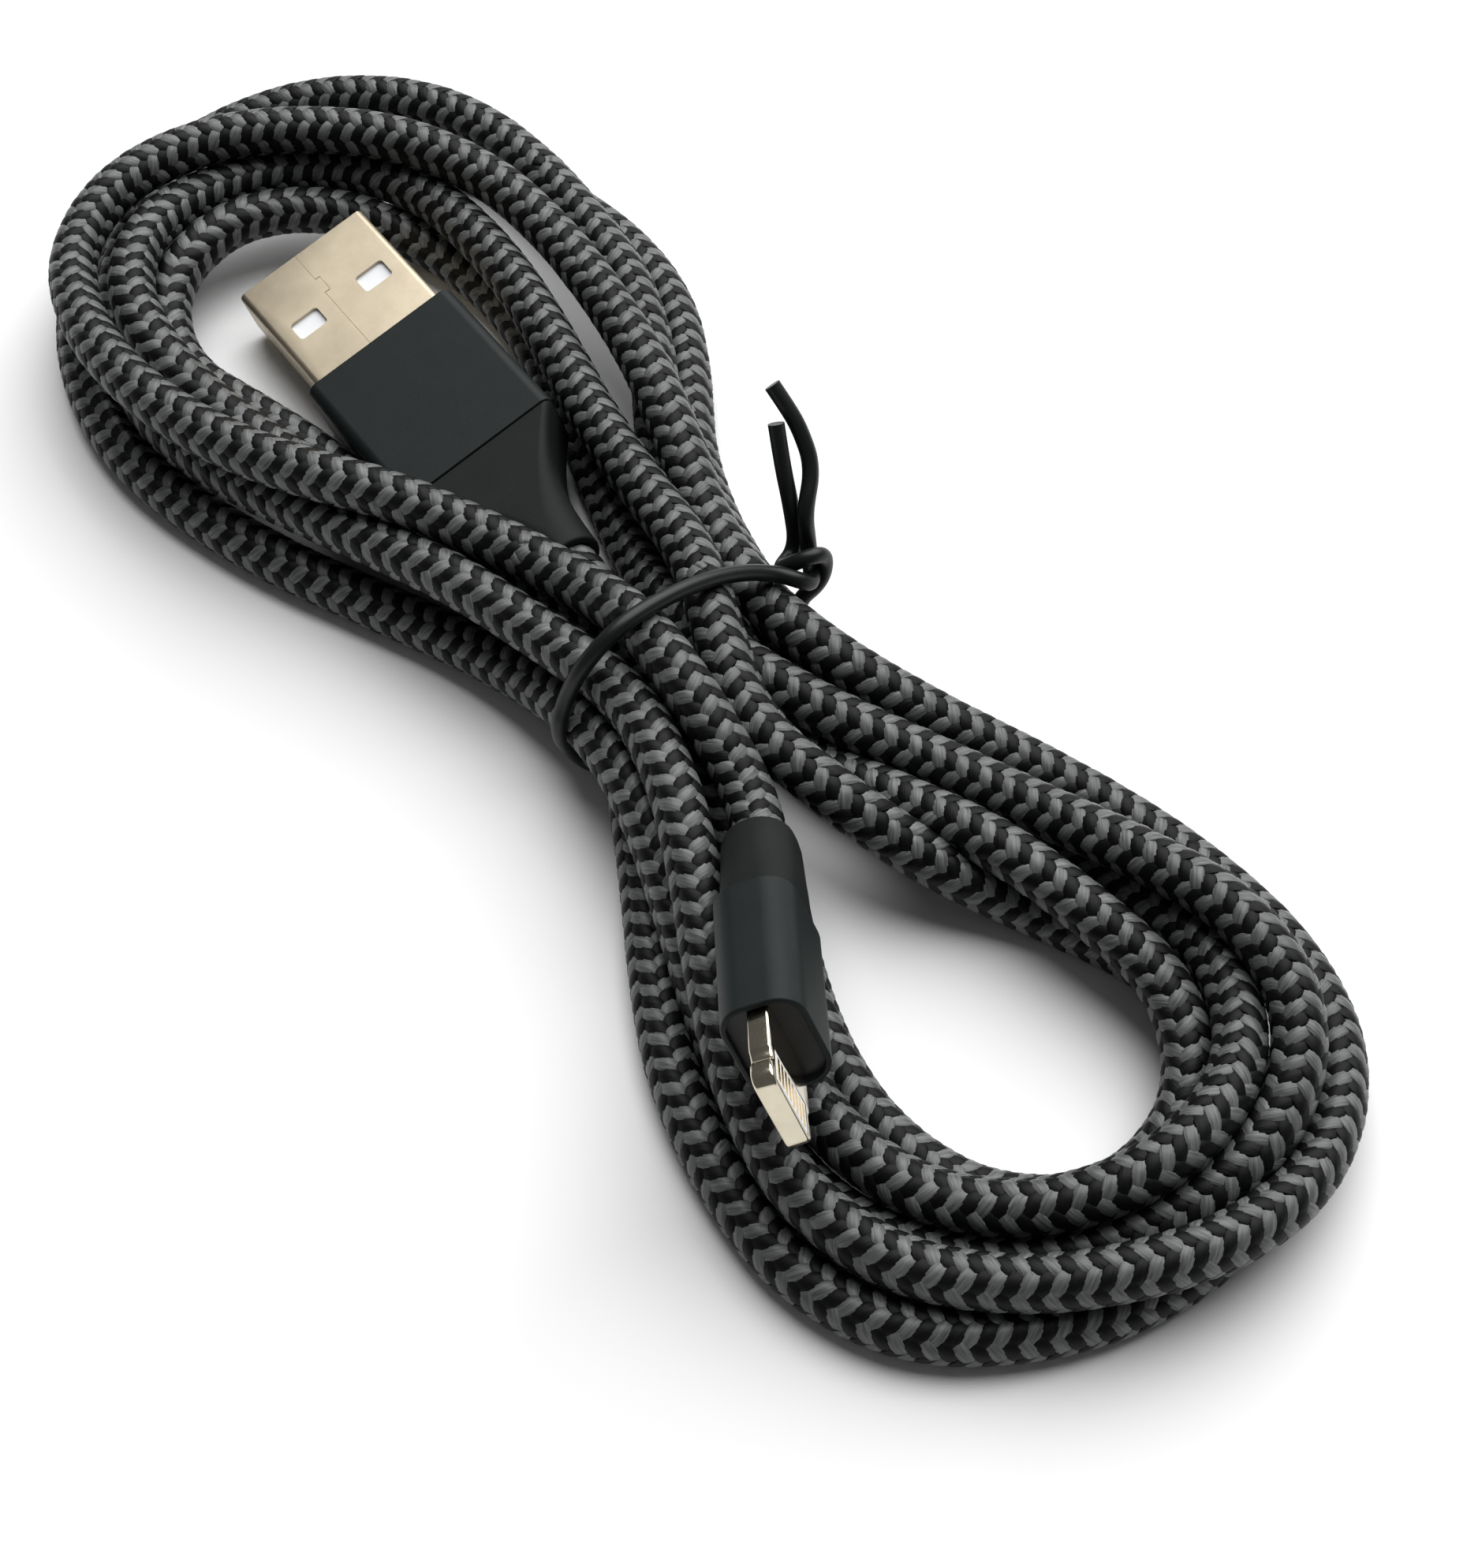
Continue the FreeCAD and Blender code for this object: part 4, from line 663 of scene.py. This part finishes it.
def plate(name, outlines, thick, edge, material, matrix, resolution=4):
    """Flat plate with softened edges: the first outline is its rim, the others are openings, x and y in millimetres."""
    data = bpy.data.curves.new(name, "CURVE")
    data.dimensions = "2D"
    data.fill_mode = "BOTH"
    data.extrude = thick / 2 * MM - edge * MM
    data.bevel_depth = edge * MM
    data.bevel_resolution = resolution
    data.offset = -edge * MM
    for pts in outlines:
        s = data.splines.new("POLY")
        s.points.add(len(pts) - 1)
        for q, (x, y) in zip(s.points, pts):
            q.co = (x * MM, y * MM, 0.0, 1.0)
        s.use_cyclic_u = True
    bare = bpy.data.objects.new(name, data)
    me = bpy.data.meshes.new_from_object(bare)
    bpy.data.objects.remove(bare)
    bpy.data.curves.remove(data)
    bm = bmesh.new()
    bm.from_mesh(me)
    bmesh.ops.remove_doubles(bm, verts=bm.verts, dist=1e-7)
    bmesh.ops.recalc_face_normals(bm, faces=bm.faces)
    bm.to_mesh(me)
    bm.free()
    me.transform(matrix)
    me.name = name
    me.materials.clear()
    me.materials.append(material)
    me.polygons.foreach_set("use_smooth", np.ones(len(me.polygons), bool))
    me.set_sharp_from_angle(angle=math.radians(38))
    return link(bpy.data.objects.new(name, me))


def tip_outline():
    x0, x1, w, r = 15.0, 25.7, 3.35, 0.9
    nc, nr, deep = 23.6, 0.9, 0.28
    half = []
    side_points = [(x0, w), (nc - math.sqrt(nr ** 2 - (nr - deep) ** 2), w)]
    a0 = math.acos((nr - deep) / nr)
    for i in range(9):
        a = -a0 + 2 * a0 * i / 8
        side_points.append((nc + nr * math.sin(a), w + (nr - deep) - nr * math.cos(a)))
    for i in range(9):
        a = math.radians(90 - 90 * i / 8)
        side_points.append((x1 - r + r * math.cos(a), w - r + r * math.sin(a)))
    half = side_points
    return half + [(x, -y) for x, y in reversed(half)]


tip = plate("slim_tip", [tip_outline(), [(22.75, -2.55), (25.25, -2.55), (25.25, 2.55), (22.75, 2.55)]], 1.5, 0.2, TIP, SLIM)
for o, n, s in ((sboot, "slim_plug_boot", "black_plastic"), (shousing, "slim_plug_housing", "black_plastic"), (tip, "slim_plug_tip_frame", "tip_steel")):
    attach(o, "slim_plug")
    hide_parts(n)

for n, m in (("wide_plug_power_contacts", GOLD), ("wide_plug_data_contacts", GOLD), ("wide_plug_insulator", WHITE), ("wide_plug_inner_mould", NYLON),
             ("wide_plug_crimp", STEEL), ("wide_plug_cord_end", CORE), ("wide_plug_cord_core", CORE), ("slim_plug_contacts_upper", GOLD),
             ("slim_plug_contacts_lower", GOLD), ("slim_plug_insulator", WHITE), ("slim_plug_board", BOARD), ("slim_plug_chip", CHIP),
             ("slim_plug_shield_can", STEEL), ("slim_plug_inner_mould", NYLON), ("slim_plug_crimp", STEEL), ("slim_plug_cord_core", CORE),
             ("slim_plug_cord_end", CORE)):
    for s in NODES[n].material_slots:
        s.material = m
for c, m in LEADS.items():
    for n in ("wide_plug_lead_" + c, "slim_plug_lead_" + c):
        for s in NODES[n].material_slots:
            s.material = m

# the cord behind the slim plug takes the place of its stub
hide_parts("slim_plug_cord_stub")
for o in (tail_braid, tail):
    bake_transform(o)

# ------------------------------------------------------------------ twist tie
TIE = [
    (0.13, 12.32, 17.01), (1.85, 11.65, 14.53), (3.46, 11.26, 11.98), (4.21, 11.36, 7.84), (5.14, 8.89, 7.8),
    (6.39, 9.51, 9.57), (7.03, 10.72, 10.13), (6.86, 12.02, 9.04), (7.21, 11.4, 6.84), (7.26, 8.99, 6.26),
    (8.19, 9.28, 4.49), (8.91, 10.19, 1.91), (9.1, 8.2, 0.68), (8.65, 2.22, 0.64), (7.88, -4.63, 0.64),
    (7.8, -9.06, 0.67), (6.19, -10.26, 1.99), (7.11, -11.96, 6.59), (6.48, -10.68, 8.96), (6.79, -9.37, 11.94),
    (6.93, -6.37, 14.27), (6.39, -2.67, 13.89), (5.85, 1.56, 12.58), (5.75, 5.23, 10.91), (6.38, 7.88, 9.44),
    (7.56, 8.92, 9.14), (7.82, 10.12, 8.01), (6, 11.19, 8.07), (5.2, 11.55, 9.54), (4.77, 11.52, 12.15),
    (2.85, 13.68, 13.93), (0.85, 13.92, 16.12), (-0.65, 13.74, 17.41), (-1.95, 13.48, 18.5),
]
tie_line, tie_along = even(spline_points(TIE, 16), 0.25 * MM)
tie = tube_mesh("tie", tie_line, 0.62 * MM, VINYL, 20)
tie.data.set_sharp_from_angle(angle=math.radians(50))
tie_core = tube_mesh("tie_core", tie_line[2:-2], 0.27 * MM, STEEL, 12)
tie_core.data.set_sharp_from_angle(angle=math.radians(50))
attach(tie_core, "root")
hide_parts("tie_core_wire")
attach(tie, "root")
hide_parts("tie_coating")

# ------------------------------------------------------------------ floor and light
bm = bmesh.new()
bmesh.ops.create_grid(bm, x_segments=2, y_segments=2, size=2.0)
me = bpy.data.meshes.new("floor")
bm.to_mesh(me)
bm.free()
floor_mat, nt, b = new_material("floor")
n1 = noise(nt, place(nt), 0.01, 2.0)
nt.links.new(ramp(nt, n1, [(0.3, 0.86), (0.7, 0.88)]), b.inputs["Base Color"])
b.inputs["Roughness"].default_value = 0.75
b.inputs["Specular IOR Level"].default_value = 0.2
me.materials.append(floor_mat)
floor = link(bpy.data.objects.new("floor", me))


def area_light(name, at, size, power, colour=(1.0, 1.0, 1.0), to=(0.0, 0.0, 0.0)):
    d = bpy.data.lights.new(name, "AREA")
    d.shape = "DISK"
    d.size = size
    d.energy = power
    d.color = colour
    o = link(bpy.data.objects.new(name, d))
    o.location = at
    o.rotation_euler = (Vector(to) - Vector(at)).to_track_quat("-Z", "Y").to_euler()
    return o


area_light("key", (-0.38, 0.60, 1.05), 1.9, 36.0)
world = bpy.data.worlds.new("studio")
world.use_nodes = True
world.node_tree.nodes["Background"].inputs["Color"].default_value = (1.0, 1.0, 1.0, 1.0)
world.node_tree.nodes["Background"].inputs["Strength"].default_value = 0.11
bpy.context.scene.world = world
